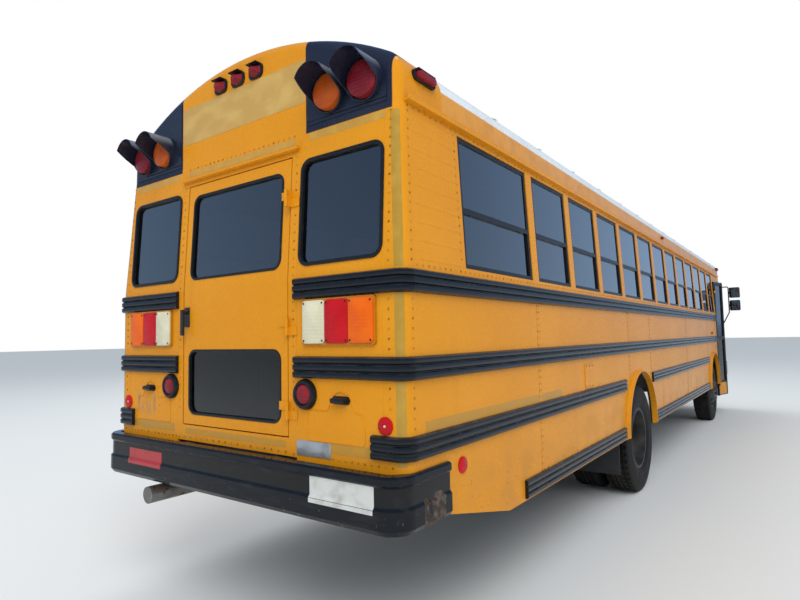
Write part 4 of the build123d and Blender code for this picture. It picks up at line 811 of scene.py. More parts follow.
# %% [markdown]
# ## Reflective tape
# Yellow reflective tape marks the bus's outline at night. It has aged to an olive beige and is cut
# where a rail or lamp is in its way. Real tape is a third of a millimetre thick; a plate of half a
# millimetre shows its edge in the same way. Its honeycomb is a fine cell pattern in the bump.

# %% Olive tape and its places
def tape_finish(name, colour, pale):
    tape = patchy(name, colour, 0.45, (14, 5), (0.42, 0.7), (colour, pale), (0.3, 0.6))
    tape.bump(tape.cells(260), 0.0003, 0.4)
    return tape


olive_tape = tape_finish("olive_tape", (0.42, 0.235, 0.020), (0.49, 0.28, 0.035))
pale_tape = tape_finish("pale_tape", (0.56, 0.295, 0.035), (0.62, 0.35, 0.06))
deep_tape = tape_finish("deep_tape", (0.50, 0.235, 0.008), (0.56, 0.27, 0.02))
tape_t = 0.0005


def corner_strip(side, low, high, radius=0.060):
    # A strip bent round the rear corner, from the tail's flat towards the side.
    shape = bmesh.new()
    rows = []
    for z in (low, high):
        over = max(0.0, z - belt)
        centre_x = half_width - over * math.tan(side_slope) - radius
        centre_y = tail_y - over * math.tan(tail_slope) - radius
        for reach in (radius, radius + tape_t):
            turns = [0.12 + 0.13 * step for step in range(7)]
            rows.append([
                shape.verts.new((
                    side * (centre_x + reach * math.sin(turn)), centre_y + reach * math.cos(turn), z,
                ))
                for turn in turns
            ])
    inner_low, outer_low, inner_high, outer_high = rows
    for first, second in (
        (outer_low, outer_high), (inner_low, inner_high), (inner_low, outer_low), (inner_high, outer_high),
    ):
        for step in range(6):
            shape.faces.new((first[step], first[step + 1], second[step + 1], second[step]))
    for step in (0, 6):
        shape.faces.new([row[step] for row in (inner_low, outer_low, outer_high, inner_high)])
    return shape


corner_tape = bmesh.new()
for side in (1, -1):
    for low, high in ((1.028, 1.398), (1.512, 1.793), (1.912, 2.655)):
        carry(corner_tape, corner_strip(side, low, high), Matrix.Identity(4))
settle(corner_tape, "tail_tape", "body", olive_tape, smooth_angle=40)

high_tape = bmesh.new()
for x, length in ((-0.835, 0.50), (0, 0.96), (0.835, 0.50)):
    carry(high_tape, plate(length, 0.039, tape_t), tail_spot(x, 2.641))
settle(high_tape, "high_tape", "body", pale_tape)

low_tape = bmesh.new()
carry(low_tape, plate(0.30, 0.052, tape_t), tail_spot(-0.905, 1.072))
carry(low_tape, plate(0.50, 0.052, tape_t), tail_spot(0.80, 1.072))
carry(low_tape, plate(0.88, 0.034, tape_t), tail_spot(0, 1.062))
for side in (1, -1):
    carry(low_tape, plate(1.738, 0.050, tape_t), side_spot(side, 4.729, 1.186))
settle(low_tape, "low_tape", "body", deep_tape)

# %% [markdown]
# ## The blank sign
# Between the lamp boards sits a pale reflective panel. It stays bare. A thin plate with a soft edge,
# a shade of beige that the weather has greyed, is all that it needs.

# %% Blank panel over the door
sign_tones = ((0.56, 0.325, 0.070), (0.64, 0.40, 0.11))
beige_sign = patchy(
    "sign_panel", (0.50, 0.30, 0.10), 0.4, (6, 5, (1, 1, 2)), (0.4, 0.7), sign_tones, (0.3, 0.55),
)
beige_sign.bump(beige_sign.cells(300), 0.0002, 0.3)

sign_panel = bmesh.new()
carry(sign_panel, plate(1.10, 0.236, 0.0012, 0.006, 0.0004), tail_spot(0, 2.956))
settle(sign_panel, "tail_sign_panel", "body", beige_sign)

# %% [markdown]
# ## Lenses
# A lamp's lens is moulded plastic with flutes inside. A spun profile makes the round ones: a wall,
# a rounded shoulder and a shallow dome. The square ones are plates with round corners and a soft
# front edge. The flutes are ribs in the bump, because they lie under a smooth outer skin.

# %% Lens plastic
def lens_plastic(name, deep, light, pitch=0.008):
    lens = Finish(name, deep, 0.18)
    x, _, z = lens.axes()
    flutes = lens.times(lens.ribs(x, pitch), lens.ribs(z, pitch * 1.5))
    aged = lens.between(lens.noise(9, 4), 0.35, 0.75)
    tone = lens.mix(aged, deep, light)
    lens.colour(lens.mix(lens.times(flutes, 0.6), tone, light))
    lens.gloss(aged, 0.28, 0.5)
    lens.bump(flutes, 0.0016, 0.5)
    return lens.extra(Specular_IOR_Level=0.22)


red_lens = lens_plastic("red_lens", (0.46, 0.002, 0.006), (0.60, 0.004, 0.012))
amber_lens = lens_plastic("amber_lens", (0.78, 0.105, 0.001), (0.88, 0.15, 0.002), 0.011)
# Painted shade: a darker copy of the amber lens for the round inner lamps under their hoods; the nose
# markers use it too.
shaded_amber_lens = lens_plastic("shaded_amber_lens", (0.40, 0.060, 0.004), (0.56, 0.105, 0.010), 0.011)
clear_lens = lens_plastic("clear_lens", (0.64, 0.60, 0.42), (0.76, 0.71, 0.52), 0.012)
dark_red_lens = lens_plastic("dark_red_lens", (0.17, 0.008, 0.016), (0.30, 0.02, 0.03), 0.012)

lamp_z, inner_lamp_x, outer_lamp_x = 2.833, 0.738, 0.967
dome = [(0.0915, 0.0), (0.0915, 0.034), (0.089, 0.040), (0.075, 0.047), (0.045, 0.053), (0, 0.055)]
flat_dome = [(0.050, 0.0), (0.050, 0.018), (0.046, 0.023), (0.028, 0.028), (0, 0.030)]
button = [(0.041, 0.0), (0.041, 0.006), (0.037, 0.0095), (0.012, 0.0105), (0.010, 0.0085), (0, 0.0085)]
button_screw = [(0.006, 0.006), (0.006, 0.0105), (0, 0.0115)]
headlamp = [(0.0915, 0), (0.0915, 0.018), (0.06, 0.034), (0, 0.040)]
lens_w, lens_h, lens_out = 0.1495, 0.213, 0.024
tail_lamp_z, clear_x, red_x, amber_x = 1.678, 0.660, 0.811, 0.962
side_lamp_x, side_lamp_z = 0.586, 1.321
button_x, button_z, headlamp_x, headlamp_z = 1.085, 1.202, 0.900, 1.180
marker_xs, marker_z, board_out = (-0.160, 0, 0.160), 3.122, 0.004

red_parts, amber_parts, clear_parts, dark_parts, shaded_amber_parts = (bmesh.new() for _ in range(5))
for side in (1, -1):
    for x, part in ((outer_lamp_x, dark_parts), (inner_lamp_x, shaded_amber_parts)):
        carry(part, turned(dome, 40), tail_spot(side * x, lamp_z, board_out))
        carry(part, turned(dome, 40), nose_spot(side * x, lamp_z, out=board_out))
    for x, part in ((clear_x, clear_parts), (red_x, red_parts), (amber_x, amber_parts)):
        lens_plate = plate(lens_w, lens_h, lens_out, 0.020, 0.006)
        carry(part, lens_plate, tail_spot(side * x, tail_lamp_z))
    carry(dark_parts, turned(flat_dome, 32), tail_spot(side * side_lamp_x, side_lamp_z))
    carry(red_parts, turned(button, 28), tail_spot(side * button_x, button_z))
    carry(clear_parts, turned(button_screw, 12), tail_spot(side * button_x, button_z))
    carry(red_parts, turned(button, 28), side_spot(side, 5.279, 0.957))
    carry(clear_parts, turned(headlamp, 40), nose_spot(side * headlamp_x, headlamp_z, nose_y))
    carry(amber_parts, plate(0.080, 0.180, 0.024, 0.014, 0.006), nose_spot(side * 1.080, headlamp_z, nose_y))


def hex_lens(part, place, size=0.052):
    shape = bmesh.new()
    bmesh.ops.create_cone(
        shape, cap_ends=True, segments=6, radius1=size, radius2=size * 0.42, depth=0.034,
        matrix=Matrix.Translation((0, 0, 0.025)),
    )
    bmesh.ops.scale(shape, vec=(1.0, 0.72, 1), verts=shape.verts)
    carry(part, shape, place)


for x in marker_xs:
    hex_lens(dark_parts, tail_spot(x, marker_z))
    hex_lens(shaded_amber_parts, nose_spot(x, marker_z))

red_piece = settle(red_parts, "red_lenses", "body", red_lens, 40)
dark_piece = settle(dark_parts, "dark_red_lenses", "body", dark_red_lens, 40)
amber_piece = settle(amber_parts, "amber_lenses", "body", amber_lens, 40)
clear_piece = settle(clear_parts, "clear_lenses", "body", clear_lens, 40)
shaded_amber_piece = settle(shaded_amber_parts, "shaded_amber_lenses", "body", shaded_amber_lens, 40)
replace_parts(red_piece, "red_lamp_lenses")
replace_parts(dark_piece, "red_lamp_lenses")
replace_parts(amber_piece, "amber_lamp_lenses")
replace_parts(shaded_amber_piece, "amber_lamp_lenses")
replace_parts(clear_piece, "clear_lamp_lenses")

# %% [markdown]
# ## Rubber
# Black rubber holds the tail's panes, seals the door and rings the round lamps. A gasket is a plate
# with a rim: the same rounded outline as the window, inset and opened in the middle. A second, deeper
# rim lines the cut edge of the sheet behind it.

# %% Gaskets, lamp rings and the door seal
rubber_tones = ((0.009, 0.009, 0.010), (0.035, 0.032, 0.03))
seal_rubber = patchy(
    "seal_rubber", (0.012, 0.012, 0.013), 0.5, (30, 4), (0.5, 0.8, 0.5), rubber_tones, (0.38, 0.75),
).extra(Specular_IOR_Level=0.3)
seal_rubber.bump(seal_rubber.noise(90, 2), 0.0005, 0.3)


def gasket(bm, place, width, height, radius=0.055, lap=0.012, thick=0.007):
    ring = plate(width + 2 * lap, height + 2 * lap, thick, radius + lap - 0.002, 0.0025, lap + 0.007, 8)
    carry(bm, ring, place)
    sleeve = plate(width - 0.001, height - 0.001, 0.013, radius - 0.001, 0.0, 0.006, 8)
    carry(bm, sleeve, place @ Matrix.Translation((0, 0, -0.0125)))


wall_gaskets = bmesh.new()
for side in (1, -1):
    gasket(wall_gaskets, tail_spot(side * 0.8065, 2.245), 0.523, 0.541)
settle(wall_gaskets, "tail_gaskets", "body", seal_rubber, 50)

door_gaskets = bmesh.new()
gasket(door_gaskets, tail_spot(0, 2.226), 0.794, 0.513, lap=0.008, thick=0.0042)
gasket(door_gaskets, tail_spot(0, 1.353), 0.800, 0.370, lap=0.008, thick=0.0042)
settle(door_gaskets, "door_gaskets", "rear_door", seal_rubber, 50)

rubber_parts = bmesh.new()
ring_profile = [(0.050, 0), (0.050, 0.020), (0.056, 0.027), (0.066, 0.026), (0.075, 0.014), (0.077, 0)]
for side in (1, -1):
    carry(rubber_parts, turned(ring_profile, 32), tail_spot(side * side_lamp_x, side_lamp_z))
settle(rubber_parts, "lamp_rings", "body", seal_rubber, 40)

# %% [markdown]
# ## Tyres
# A tyre is a section spun about the axle. The tread could be one modelled block set down all round,
# but a stepped section gives the grooves in the same spin. The cuts between its lugs are every second
# face of the ribs, drawn together and pushed inwards by 9 mm.

# %% Tyre rubber and the four tyres
def tyre_finish():
    tyre = Finish("tyre_rubber", (0.012, 0.012, 0.012), 0.7)
    dusty = tyre.between(tyre.noise(5, 5), 0.42, 0.75)
    tyre.colour(tyre.mix(tyre.times(dusty, 0.5), (0.0085, 0.008, 0.0075), (0.060, 0.047, 0.034)))
    tyre.gloss(dusty, 0.62, 0.9)
    tyre.bump(tyre.noise(120, 3), 0.0006, 0.4)
    return tyre.extra(Specular_IOR_Level=0.25)


tyre_rubber = tyre_finish()
tyre_r, tyre_steps = 0.527, 96
tyre_half_section = [
    (0.2875, 0.1025), (0.3050, 0.1025), (0.3060, 0.1125), (0.3140, 0.1180), (0.330, 0.1250),
    (0.372, 0.1350), (0.376, 0.1335), (0.400, 0.1380), (0.432, 0.1385), (0.436, 0.1370),
    (0.470, 0.1335), (0.494, 0.1270), (0.508, 0.1230),
    (0.5225, 0.1120), (0.5263, 0.1060), (0.5268, 0.0760), (0.5150, 0.0740), (0.5150, 0.0650),
    (0.5268, 0.0630), (0.5268, 0.0270), (0.5150, 0.0250), (0.5150, 0.0160), (0.5268, 0.0140), (0.5268, 0.0),
]


def tyre(bm, centre_x, centre_y):
    section = tyre_half_section + [(radius, -out) for radius, out in reversed(tyre_half_section[:-1])]
    shape = spun([(out, 0, radius) for radius, out in section], (1, 0, 0), tyre_steps, closed=True)
    bmesh.ops.recalc_face_normals(shape, faces=shape.faces)
    lugs = []
    for face in shape.faces:
        middle = face.calc_center_median()
        radius = math.hypot(middle.y, middle.z)
        turn = round(math.degrees(math.atan2(middle.y, middle.z)) / (360 / tyre_steps))
        on_tread = radius > 0.5195 and (0.078 < abs(middle.x) < 0.112 or 0.03 < abs(middle.x) < 0.06)
        if on_tread and turn % 2 == 0:
            lugs.append(face)
    pushed = bmesh.ops.extrude_discrete_faces(shape, faces=lugs)["faces"]
    for face in pushed:
        centre = face.calc_center_median()
        inward = Vector((0, -centre.y, -centre.z)).normalized()
        for corner in face.verts:
            corner.co = centre + (corner.co - centre) * 0.55 + inward * 0.009
    bmesh.ops.transform(shape, matrix=Matrix.Translation((centre_x, centre_y, tyre_r)), verts=shape.verts)
    carry(bm, shape, Matrix.Identity(4))


tyre_places = {
    "front_tyre_left": ("front_left_wheel", 1, (1.030,), front_axle_y),
    "front_tyre_right": ("front_right_wheel", -1, (1.030,), front_axle_y),
    "rear_tyres_left": ("rear_left_wheels", 1, (1.0535, 0.7165), rear_axle_y),
    "rear_tyres_right": ("rear_right_wheels", -1, (1.0535, 0.7165), rear_axle_y),
}
for node, (body, side, centres, axle_y) in tyre_places.items():
    rubber = bmesh.new()
    for centre_x in centres:
        tyre(rubber, side * centre_x, axle_y)
    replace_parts(settle(rubber, "treaded_" + node, body, tyre_rubber, 35), node)

# %% [markdown]
# ## Seats
# A bench is a board with foam, covered in sewn vinyl. Foam swells against its cover, so a pad is a
# slightly small block that cloth simulation blows up from inside, with gravity off. Every bench has
# the same pads, so one cushion and one back are simulated and then set down row by row. The result
# is trimmed to the space that the frame keeps for it, flat where it lies on its board.

# %% Vinyl with its seams
row_pitch, first_row_y = 0.727, 4.622
seams_x, seam_z = (0.470, -0.470, 0.825, -0.825), 2.060
vinyl_tones = ((0.024, 0.046, 0.034), (0.055, 0.080, 0.060))
green_vinyl = patchy(
    "green_vinyl", (0.030, 0.055, 0.040), 0.45, (7, 5), (0.38, 0.72), vinyl_tones, (0.33, 0.62),
)
vinyl_x, _, vinyl_z = green_vinyl.axes()
grain = green_vinyl.times(green_vinyl.cells(420), 0.35)
relief = green_vinyl.math("ADD", grain, green_vinyl.noise(18, 6, (1, 2, 2)))
for along, place in [(vinyl_z, seam_z)] + [(vinyl_x, seam_x) for seam_x in seams_x]:
    away = green_vinyl.math("ABSOLUTE", green_vinyl.math("SUBTRACT", along, place))
    groove = green_vinyl.between(away, 0.0015, 0.006)
    relief = green_vinyl.math("ADD", relief, green_vinyl.times(groove, 1.6))
green_vinyl.bump(relief, 0.0016, 0.6)

# %% [markdown]
# ### Foam under its cover
# Remeshing turns the block into even squares first, because cloth needs an even net. The distance
# that any point may move is capped, so the corners stay drawn in while the faces crown.

# %% Cloth simulation of one pad
def evaluated_mesh(piece):
    depsgraph = bpy.context.evaluated_depsgraph_get()
    return bpy.data.meshes.new_from_object(piece.evaluated_get(depsgraph))


def stuffed(name, size, voxel, cap=0.024, flat_axis=None):
    # One pad about the origin, size in metres. flat_axis keeps the low side of that axis flat.
    block = bmesh.new()
    bmesh.ops.create_cube(block, size=1.0)
    bmesh.ops.scale(block, vec=[side * 0.95 for side in size], verts=block.verts)
    bmesh.ops.bevel(
        block, geom=list(block.edges), offset=min(size) * 0.22, segments=3, affect="EDGES",
        profile=0.5, material=-1,
    )
    rough = bpy.data.meshes.new(name)
    block.to_mesh(rough)
    block.free()
    pad = bpy.data.objects.new(name, rough)
    scene.collection.objects.link(pad)
    voxels = pad.modifiers.new("voxels", "REMESH")
    voxels.mode = "VOXEL"
    voxels.voxel_size = voxel
    pad.data = evaluated_mesh(pad)
    pad.modifiers.clear()
    rest = [corner.co.copy() for corner in pad.data.vertices]
    cloth = pad.modifiers.new("foam", "CLOTH")
    cloth.settings.use_pressure = True
    cloth.settings.uniform_pressure_force = 4.0
    cloth.settings.effector_weights.gravity = 0.0
    cloth.point_cache.frame_start = 1
    cloth.point_cache.frame_end = 20
    for step in range(1, 21):
        scene.frame_set(step)
    blown = evaluated_mesh(pad)
    pad.modifiers.clear()
    for corner, start, end in zip(pad.data.vertices, rest, blown.vertices):
        move = end.co - start
        if move.length > cap:
            move = move.normalized() * cap
        corner.co = start + move
    scene.frame_set(1)
    low = [min(corner.co[axis] for corner in pad.data.vertices) for axis in range(3)]
    high = [max(corner.co[axis] for corner in pad.data.vertices) for axis in range(3)]
    if flat_axis is not None:
        floor_level = low[flat_axis] + 0.012
        for corner in pad.data.vertices:
            corner.co[flat_axis] = max(corner.co[flat_axis], floor_level)
        low[flat_axis] = floor_level
    for corner in pad.data.vertices:
        for axis in range(3):
            share = (corner.co[axis] - low[axis]) / (high[axis] - low[axis])
            corner.co[axis] = (share - 0.5) * size[axis]
    print(name, len(rest), "points, moved by cloth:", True)
    mesh = pad.data
    bpy.data.objects.remove(pad)
    return mesh


def stamp(bm, mesh, place):
    shape = bmesh.new()
    shape.from_mesh(mesh)
    carry(bm, shape, place)


bench_cushion = stuffed("bench_cushion", (0.960, 0.398, 0.120), 0.016, flat_axis=2)
bench_back = stuffed("bench_back", (0.960, 0.085, 0.740), 0.018)

# %% [markdown]
# ### Twelve rows on each side
# The pads are set down row by row. Each side's cushions and backs replace that side's CAD benches.

# %% Benches and the driver's seat
for side, node in ((1, "left_bench_seats"), (-1, "right_bench_seats")):
    for name, mesh, from_row, z in (
        ("cushions", bench_cushion, -0.201, 1.455), ("backs", bench_back, 0.0425, 1.765),
    ):
        pads = bmesh.new()
        for row in range(12):
            row_y = first_row_y - row * row_pitch
            stamp(pads, mesh, Matrix.Translation((side * 0.647, row_y + from_row, z)))
        piece = settle(pads, node + "_" + name, "body", green_vinyl, 180)
        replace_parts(piece, node)

driver_cushion = stuffed("driver_cushion", (0.480, 0.460, 0.110), 0.011, flat_axis=2)
driver_back = stuffed("driver_back", (0.460, 0.095, 0.680), 0.011)
driver_pads = bmesh.new()
stamp(driver_pads, driver_cushion, Matrix.Translation((0.690, -4.8095, 1.520)))
stamp(driver_pads, driver_back, Matrix.Translation((0.690, -4.527, 1.825)))
driver_piece = settle(driver_pads, "driver_seat_pads", "body", green_vinyl, 180)
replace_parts(driver_piece, "driver_seat")

# %% [markdown]
# ## Wires, ridges and gutters
# Thin round things are curves with a bevel: the bell-shaped ridges pressed round the tail's lower
# lamps and the wiper arms. The gutter over the door is a plate. The curve is made a mesh in its own
# plane first, and that mesh is then carried to its wall, so that nothing is left that depends on a
# curve object.

# %% Curves made into meshes
def wire(bm, points, radius, place, closed=False):
    path = bpy.data.curves.new("path", "CURVE")
    path.dimensions = "3D"
    path.bevel_depth = radius
    path.bevel_resolution = 1
    path.use_fill_caps = True
    run = path.splines.new("POLY")
    run.points.add(len(points) - 1)
    run.points.foreach_set("co", [value for point in points for value in (*point, 1)])
    run.use_cyclic_u = closed
    holder = bpy.data.objects.new("path", path)
    scene.collection.objects.link(holder)
    stamp(bm, evaluated_mesh(holder), place)
    bpy.data.objects.remove(holder)


def arc(centre_x, centre_y, radius, start, end, steps=8):
    turns = [math.radians(start + (end - start) * step / steps) for step in range(steps + 1)]
    return [(centre_x + radius * math.cos(turn), centre_y + radius * math.sin(turn), 0) for turn in turns]


# The ridge's outline in its own plane: x across the bus away from the lamp, y up
bell = (
    arc(0.018, 0.018, 0.018, 180, 270, 3) + arc(0.348, 0.018, 0.018, 270, 360, 3)
    + arc(0.336, 0.118, 0.030, 0, 90, 4) + arc(0.322, 0.166, 0.018, 270, 225, 2)
    + arc(0.224, 0.168, 0.074, 15, 165, 10) + arc(0.126, 0.166, 0.018, 315, 270, 2)
    + arc(0.030, 0.118, 0.030, 90, 180, 4)
)
ridges = bmesh.new()
for side in (1, -1):
    mirror_x = Matrix.Diagonal((-side, 1, 1, 1))
    wire(ridges, bell, 0.0035, tail_spot(side * 0.598, 1.100) @ mirror_x, closed=True)
settle(ridges, "pressed_ridges", "body", trim_yellow, 60)

gutter = bmesh.new()
carry(gutter, plate(1.02, 0.014, 0.020, 0.0, 0.003), tail_spot(0, 2.592))
patch_y, patch_z = 3.254, 1.262
for strip_z in (1.350, 1.175):
    carry(gutter, plate(0.187, 0.022, 0.003, 0.004, 0.001), side_spot(-1, patch_y, strip_z))
carry(gutter, plate(0.186, 0.190, 0.007, 0.006, 0.002), side_spot(-1, patch_y, patch_z))
settle(gutter, "gutter_and_patch", "body", trim_yellow)

# %% [markdown]
# ## Blank stickers and plate
# The bumper carries a white and a red sticker, and the wall a silver plate. All three are blank here.
# A sticker follows the bumper's pressed section, so it is a fine grid whose rows are moved in by the
# depth of that section at their height.

# %% Stickers on the bumper, the plate and the two plate lamps
def sticker_finish(name, colour, stain):
    film = patchy(name, colour, 0.4, (12, 6), (0.45, 0.75, 0.8), (colour, stain), (0.3, 0.7))
    film.bump(film.noise(24, 3), 0.0012, 0.3)
    return film


white_film = sticker_finish("white_film", (0.62, 0.63, 0.60), (0.36, 0.34, 0.29))
red_film = sticker_finish("red_film", (0.42, 0.018, 0.022), (0.24, 0.05, 0.04))
plate_metal = sticker_finish("plate_metal", (0.44, 0.47, 0.50), (0.27, 0.25, 0.20))
plate_metal.extra(Metallic=0.6)

bumper_face, bumper_low, bumper_high = 5.845, 0.752, 1.002
# The bumper's section as pairs: share of its height, depth behind its face
bumper_section = (
    (0.0, 0.016), (0.09, 0.0), (0.42, 0.0), (0.47, 0.011),
    (0.80, 0.011), (0.85, 0.0), (0.96, 0.0), (1.0, 0.010),
)


def section_depth(z):
    share = (z - bumper_low) / (bumper_high - bumper_low)
    for (low, depth_low), (high, depth_high) in zip(bumper_section, bumper_section[1:]):
        if low <= share <= high:
            return depth_low + (depth_high - depth_low) * (share - low) / (high - low)
    return 0.016


def sticker(left, right, low, high):
    sheet = bmesh.new()
    bmesh.ops.create_grid(sheet, x_segments=2, y_segments=26, size=0.5)
    bmesh.ops.scale(sheet, vec=(abs(right - left), high - low, 1), verts=sheet.verts)
    for corner in sheet.verts:
        corner.co.z = -section_depth((low + high) / 2 + corner.co.y)
    thicken(sheet, 0.0006)
    middle = Vector(((left + right) / 2, bumper_face, (low + high) / 2))
    sheet.transform(axes_at(middle, -along_x, along_z, along_y))
    return sheet


for name, film, edges in (
    ("white_sticker", white_film, (-0.692, -1.078, 0.836, 0.956)),
    ("red_sticker", red_film, (0.915, 0.552, 0.836, 0.930)),
):
    film_sheet = bmesh.new()
    carry(film_sheet, sticker(*edges), Matrix.Identity(4))
    settle(film_sheet, name, "body", film)

silver = bmesh.new()
carry(silver, plate(0.232, 0.076, 0.0015, 0.008, 0.0005), tail_spot(-0.637, 1.056, 0.0008))
for x in (-0.545, -0.729):
    rivet(silver, tail_spot(x, 1.056, 0.0022), 0.006)
settle(silver, "silver_plate", "body", plate_metal, 40)

plate_lamps = bmesh.new()
for side in (1, -1):
    carry(plate_lamps, plate(0.092, 0.026, 0.036, 0.010, 0.007), tail_spot(side * 0.822, 1.302))
    carry(plate_lamps, plate(0.112, 0.040, 0.003, 0.018, 0.001), tail_spot(side * 0.822, 1.302))
settle(plate_lamps, "plate_lamps", "body", seal_rubber, 40)

# %% [markdown]
# ## Clearance lamps and screws
# Small hooded lamps sit on the flank above the windows. Screws hold the tail lenses at their corners
# and the riveted patch at its edges. Each is a low cone with few sides, like the rivets.

# %% Clearance lamps and lens screws
eave_x, sunk = 1.157, 0.009
clearance, hoods, screws = bmesh.new(), bmesh.new(), bmesh.new()


def eave_spot(side, y, z):
    # The cove curves away above the eave, so what stands here starts 9 mm behind the flat.
    return axes_at(Vector((side * (eave_x - sunk), y, z)), side * along_y, along_z, side * along_x)


for side in (1, -1):
    for y in (5.488, -5.36):
        carry(clearance, plate(0.150, 0.040, 0.034 + sunk, 0.016, 0.012), eave_spot(side, y, 2.862))
        carry(hoods, plate(0.190, 0.058, 0.012 + sunk, 0.026, 0.005, 0.012), eave_spot(side, y, 2.862))
        carry(hoods, plate(0.150, 0.006, 0.024 + sunk, 0.0, 0.002), eave_spot(side, y, 2.889))
    carry(clearance, plate(0.098, 0.030, 0.022 + sunk, 0.013, 0.008), eave_spot(side, -0.069, 2.813))
    carry(clearance, plate(0.074, 0.034, 0.020, 0.014, 0.008), side_spot(side, -3.861, 1.568))
    for x in (clear_x, red_x, amber_x):
        for across in (-0.062, 0.062):
            for up in (-0.092, 0.092):
                rivet(screws, tail_spot(side * x + across, tail_lamp_z + up, lens_out), 0.006)
for x in marker_xs:
    for spot in (tail_spot(x, marker_z), nose_spot(x, marker_z)):
        carry(hoods, plate(0.118, 0.084, 0.010, 0.030, 0.004), spot)
        carry(hoods, plate(0.086, 0.006, 0.044, 0.0, 0.002), spot @ Matrix.Translation((0, 0.036, 0)))
for across in (-0.075, 0, 0.075):
    for up in (-0.080, 0.080):
        rivet(screws, side_spot(-1, patch_y + across, patch_z + up, 0.007), 0.007)
settle(clearance, "clearance_lenses", "body", dark_red_lens, 40)
settle(hoods, "clearance_hoods", "body", seal_rubber, 40)
settle(screws, "lens_screws", "body", seal_rubber, 40)

# %% [markdown]
# ## Roof seams
# The roof is made of sheets that run across the bus and overlap at each bow, riveted down. A strip
# bent to the roof's radius is an arc spun about the length of the bus; rivets stand along its edges.

# %% Arcs over the roof at each bow
roof_seams, roof_rivets = bmesh.new(), bmesh.new()
crown_reach = math.asin(1.115 / crown_radius)
for y in [5.330 - index * row_pitch for index in range(15)] + [-5.260]:
    if min(abs(y - 2.450), abs(y + 2.390)) < 0.42:
        spans = ((-crown_reach, -0.19), (0.19, crown_reach))
    else:
        spans = ((-crown_reach, crown_reach),)
    for start, end in spans:
        strip = bmesh.new()
        low, high = crown_radius - 0.001, crown_radius + 0.0012
        outline = ((-0.02, low), (0.02, low), (0.02, high), (-0.02, high))
        strip.faces.new([strip.verts.new((0, y + across, up)) for across, up in outline])
        bmesh.ops.rotate(strip, verts=strip.verts, cent=(0, 0, 0), matrix=Matrix.Rotation(start, 3, "Y"))
        bmesh.ops.spin(
            strip, geom=[*strip.verts, *strip.edges, *strip.faces], cent=(0, 0, 0), axis=(0, 1, 0),
            angle=end - start, steps=20, use_merge=False, use_duplicate=False,
        )
        carry(roof_seams, strip, Matrix.Translation((0, 0, crown_centre)))
        steps = round((end - start) * crown_radius / 0.075)
        for step in range(steps + 1):
            turn = start + (end - start) * step / steps
            outward = Vector((math.sin(turn), 0, math.cos(turn)))
            for across in (-0.012, 0.012):
                spot = Vector((0, y + across, crown_centre)) + outward * high
                rivet(roof_rivets, axes_at(spot, Vector((outward.z, 0, -outward.x)), along_y, outward))
settle(roof_seams, "roof_seams", "body", roof_white, 30)
settle(roof_rivets, "roof_rivets", "body", roof_white)

# %% [markdown]
# ## Wheel nuts
# Ten nuts hold each wheel on a ring of 143 mm radius. A nut is a six-sided prism with its outer end
# narrowed, so a cone with six sides makes one. The front discs stand out, and the rear ones are dished.

# %% Wheel nuts and hub bolts
nut_ring, nut_count = 0.143, 10
bolt_ring, bolt_count = 0.068, 8
for body, side, axle_y, nut_x, hub_x in (
    ("front_left_wheel", 1, front_axle_y, 1.1935, None),
    ("front_right_wheel", -1, front_axle_y, 1.1935, None),
    ("rear_left_wheels", 1, rear_axle_y, 0.9010, 1.035),
    ("rear_right_wheels", -1, rear_axle_y, 0.9010, 1.035),
):
    nuts = bmesh.new()
    rings = [(nut_x, nut_ring, nut_count, 0.0165, 0.026)]
    if hub_x:
        rings.append((hub_x, bolt_ring, bolt_count, 0.0095, 0.010))
    for base_x, ring, count, radius, length in rings:
        for index in range(count):
            turn = 2 * math.pi * index / count
            spot = Vector((side * base_x, axle_y + ring * math.cos(turn), tyre_r + ring * math.sin(turn)))
            place = axes_at(spot, side * along_y, along_z, side * along_x)
            bmesh.ops.create_cone(
                nuts, cap_ends=True, segments=6, radius1=radius, radius2=radius * 0.82, depth=length,
                matrix=place @ Matrix.Translation((0, 0, length / 2 - 0.0015)),
            )
    settle(nuts, "nuts_" + body, body, pipe_steel, 30)

# %% [markdown]
# ## Service door trim
# The two leaves stand ajar, so what is fixed to them is laid on the closed leaf and turned about its
# hinge by the same 15 degrees. Each has a yellow kick panel, and rubber along the edge that meets.

# %% Kick panels and meeting rubbers
leaf_face_x, hinge_x, leaf_w = -1.191, -1.205, 0.372


def leaf_spot(y, z):
    return axes_at(Vector((leaf_face_x, y, z)), -along_y, along_z, -along_x)


for body, hinge_y, towards in (("service_rear", -4.5375, -1), ("service_front", -5.2815, 1)):
    to_hinge = Matrix.Translation((hinge_x, hinge_y, 0))
    swing = to_hinge @ Matrix.Rotation(math.radians(towards * 15), 4, "Z") @ to_hinge.inverted()
    panel, edge_rubber = bmesh.new(), bmesh.new()
    middle_y = hinge_y + towards * leaf_w / 2
    kick = swing @ leaf_spot(middle_y, 0.505)
    carry(panel, plate(leaf_w - 0.05, 0.215, 0.0015, 0.006, 0.0005), kick)
    for across in (-0.145, 0, 0.145):
        for up in (-0.09, 0.09):
            rivet(panel, kick @ Matrix.Translation((across, up, 0.0015)), 0.005)
    settle(panel, body + "_kick_panel", body, trim_yellow, 40)
    meeting_y = hinge_y + towards * (leaf_w - 0.012)
    carry(edge_rubber, plate(0.020, 2.150, 0.006, 0.0, 0.002), swing @ leaf_spot(meeting_y, 1.465))
    for low, high in ((1.500, 2.490), (0.640, 1.440)):
        ring = plate(0.304, high - low + 0.024, 0.004, 0.022, 0.0015, 0.016, 5)
        carry(edge_rubber, ring, swing @ leaf_spot(middle_y, (low + high) / 2))
    settle(edge_rubber, body + "_rubber", body, seal_rubber, 50)

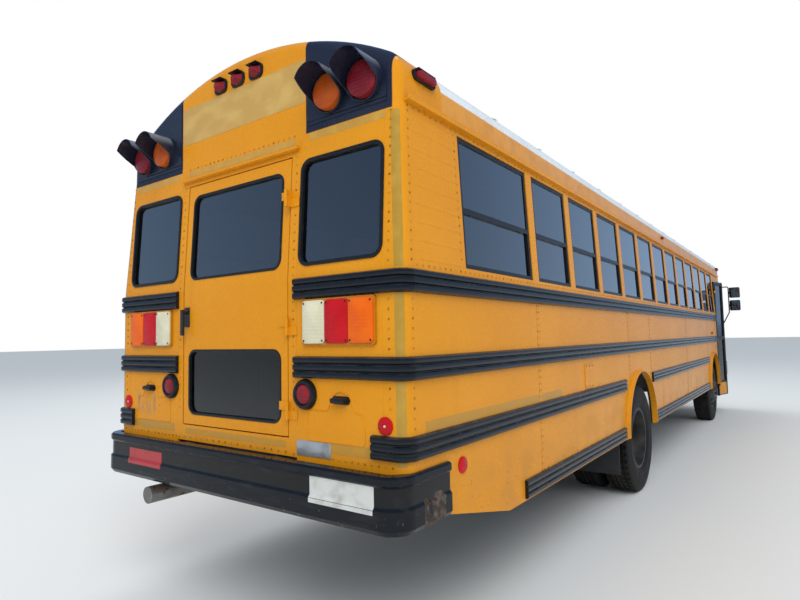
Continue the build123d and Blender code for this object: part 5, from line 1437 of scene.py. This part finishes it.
# %% [markdown]
# ## The nose
# The photograph doesn't show the nose, so it is kept plain and usual: gaskets round the windscreen's
# two panes, two parked wipers, bright rings round the headlamps and mirror glass that faces the driver.

# %% Windscreen gaskets, wipers, lamp rings and mirror glass
screen_foot_z = 1.480
nose_lean = math.atan2(0.090, eave - screen_foot_z)


def screen_spot(x, z, out=0.0):
    outward = Vector((0, -math.cos(nose_lean), math.sin(nose_lean)))
    up = Vector((0, math.sin(nose_lean), math.cos(nose_lean)))
    on_sheet = Vector((x, nose_y + (z - screen_foot_z) * math.tan(nose_lean), z))
    return axes_at(on_sheet + outward * out, along_x, up, outward)


nose_rubber = bmesh.new()
screen_h = 1.0 / math.cos(nose_lean)
for side in (1, -1):
    gasket(nose_rubber, screen_spot(side * 0.5535, 2.060), 1.063, screen_h)
settle(nose_rubber, "windscreen_gaskets", "body", seal_rubber, 50)

wipers = bmesh.new()
for side in (1, -1):
    foot = screen_spot(side * 0.52, 1.530)
    carry(wipers, turned([(0.020, 0), (0.020, 0.014), (0.012, 0.022), (0, 0.024)], 16), foot)
    wire(wipers, [(0, 0, 0.020), (side * 0.02, 0.06, 0.030), (side * -0.08, 0.42, 0.003)], 0.006, foot)
    blade_turn = Matrix.Rotation(math.radians(side * 8), 4, "Z")
    blade = foot @ Matrix.Translation((side * -0.08, 0.42, 0)) @ blade_turn
    carry(wipers, plate(0.014, 0.520, 0.012, 0.004, 0.003), blade @ Matrix.Translation((0, 0, -0.0138)))
settle(wipers, "wipers", "body", seal_rubber, 40)

bright = patchy(
    "bright_metal", (0.62, 0.63, 0.64), 0.18, (16, 4), (0.45, 0.75),
    ((0.66, 0.67, 0.68), (0.42, 0.42, 0.41)), (0.12, 0.4), 1.0,
)
mirror_glass = patchy(
    "mirror_glass", (0.20, 0.23, 0.26), 0.06, (9, 4), (0.45, 0.75, 0.5),
    ((0.17, 0.20, 0.23), (0.24, 0.25, 0.26)), (0.05, 0.35), 1.0,
)

lamp_rims, mirror_faces = bmesh.new(), bmesh.new()
rim_profile = [(0.0925, 0.0), (0.0925, 0.012), (0.097, 0.018), (0.106, 0.016), (0.112, 0.006), (0.112, 0.0)]
for side in (1, -1):
    carry(lamp_rims, turned(rim_profile, 40), nose_spot(side * headlamp_x, headlamp_z, nose_y))
    for z in (2.395, 2.130):
        facing_back = axes_at(Vector((side * 1.422, -5.728, z)), -along_x, along_z, along_y)
        carry(mirror_faces, plate(0.172, 0.197, 0.0012, 0.020, 0.0004), facing_back)
settle(lamp_rims, "headlamp_rims", "body", bright, 40)
settle(mirror_faces, "mirror_faces", "body", mirror_glass)
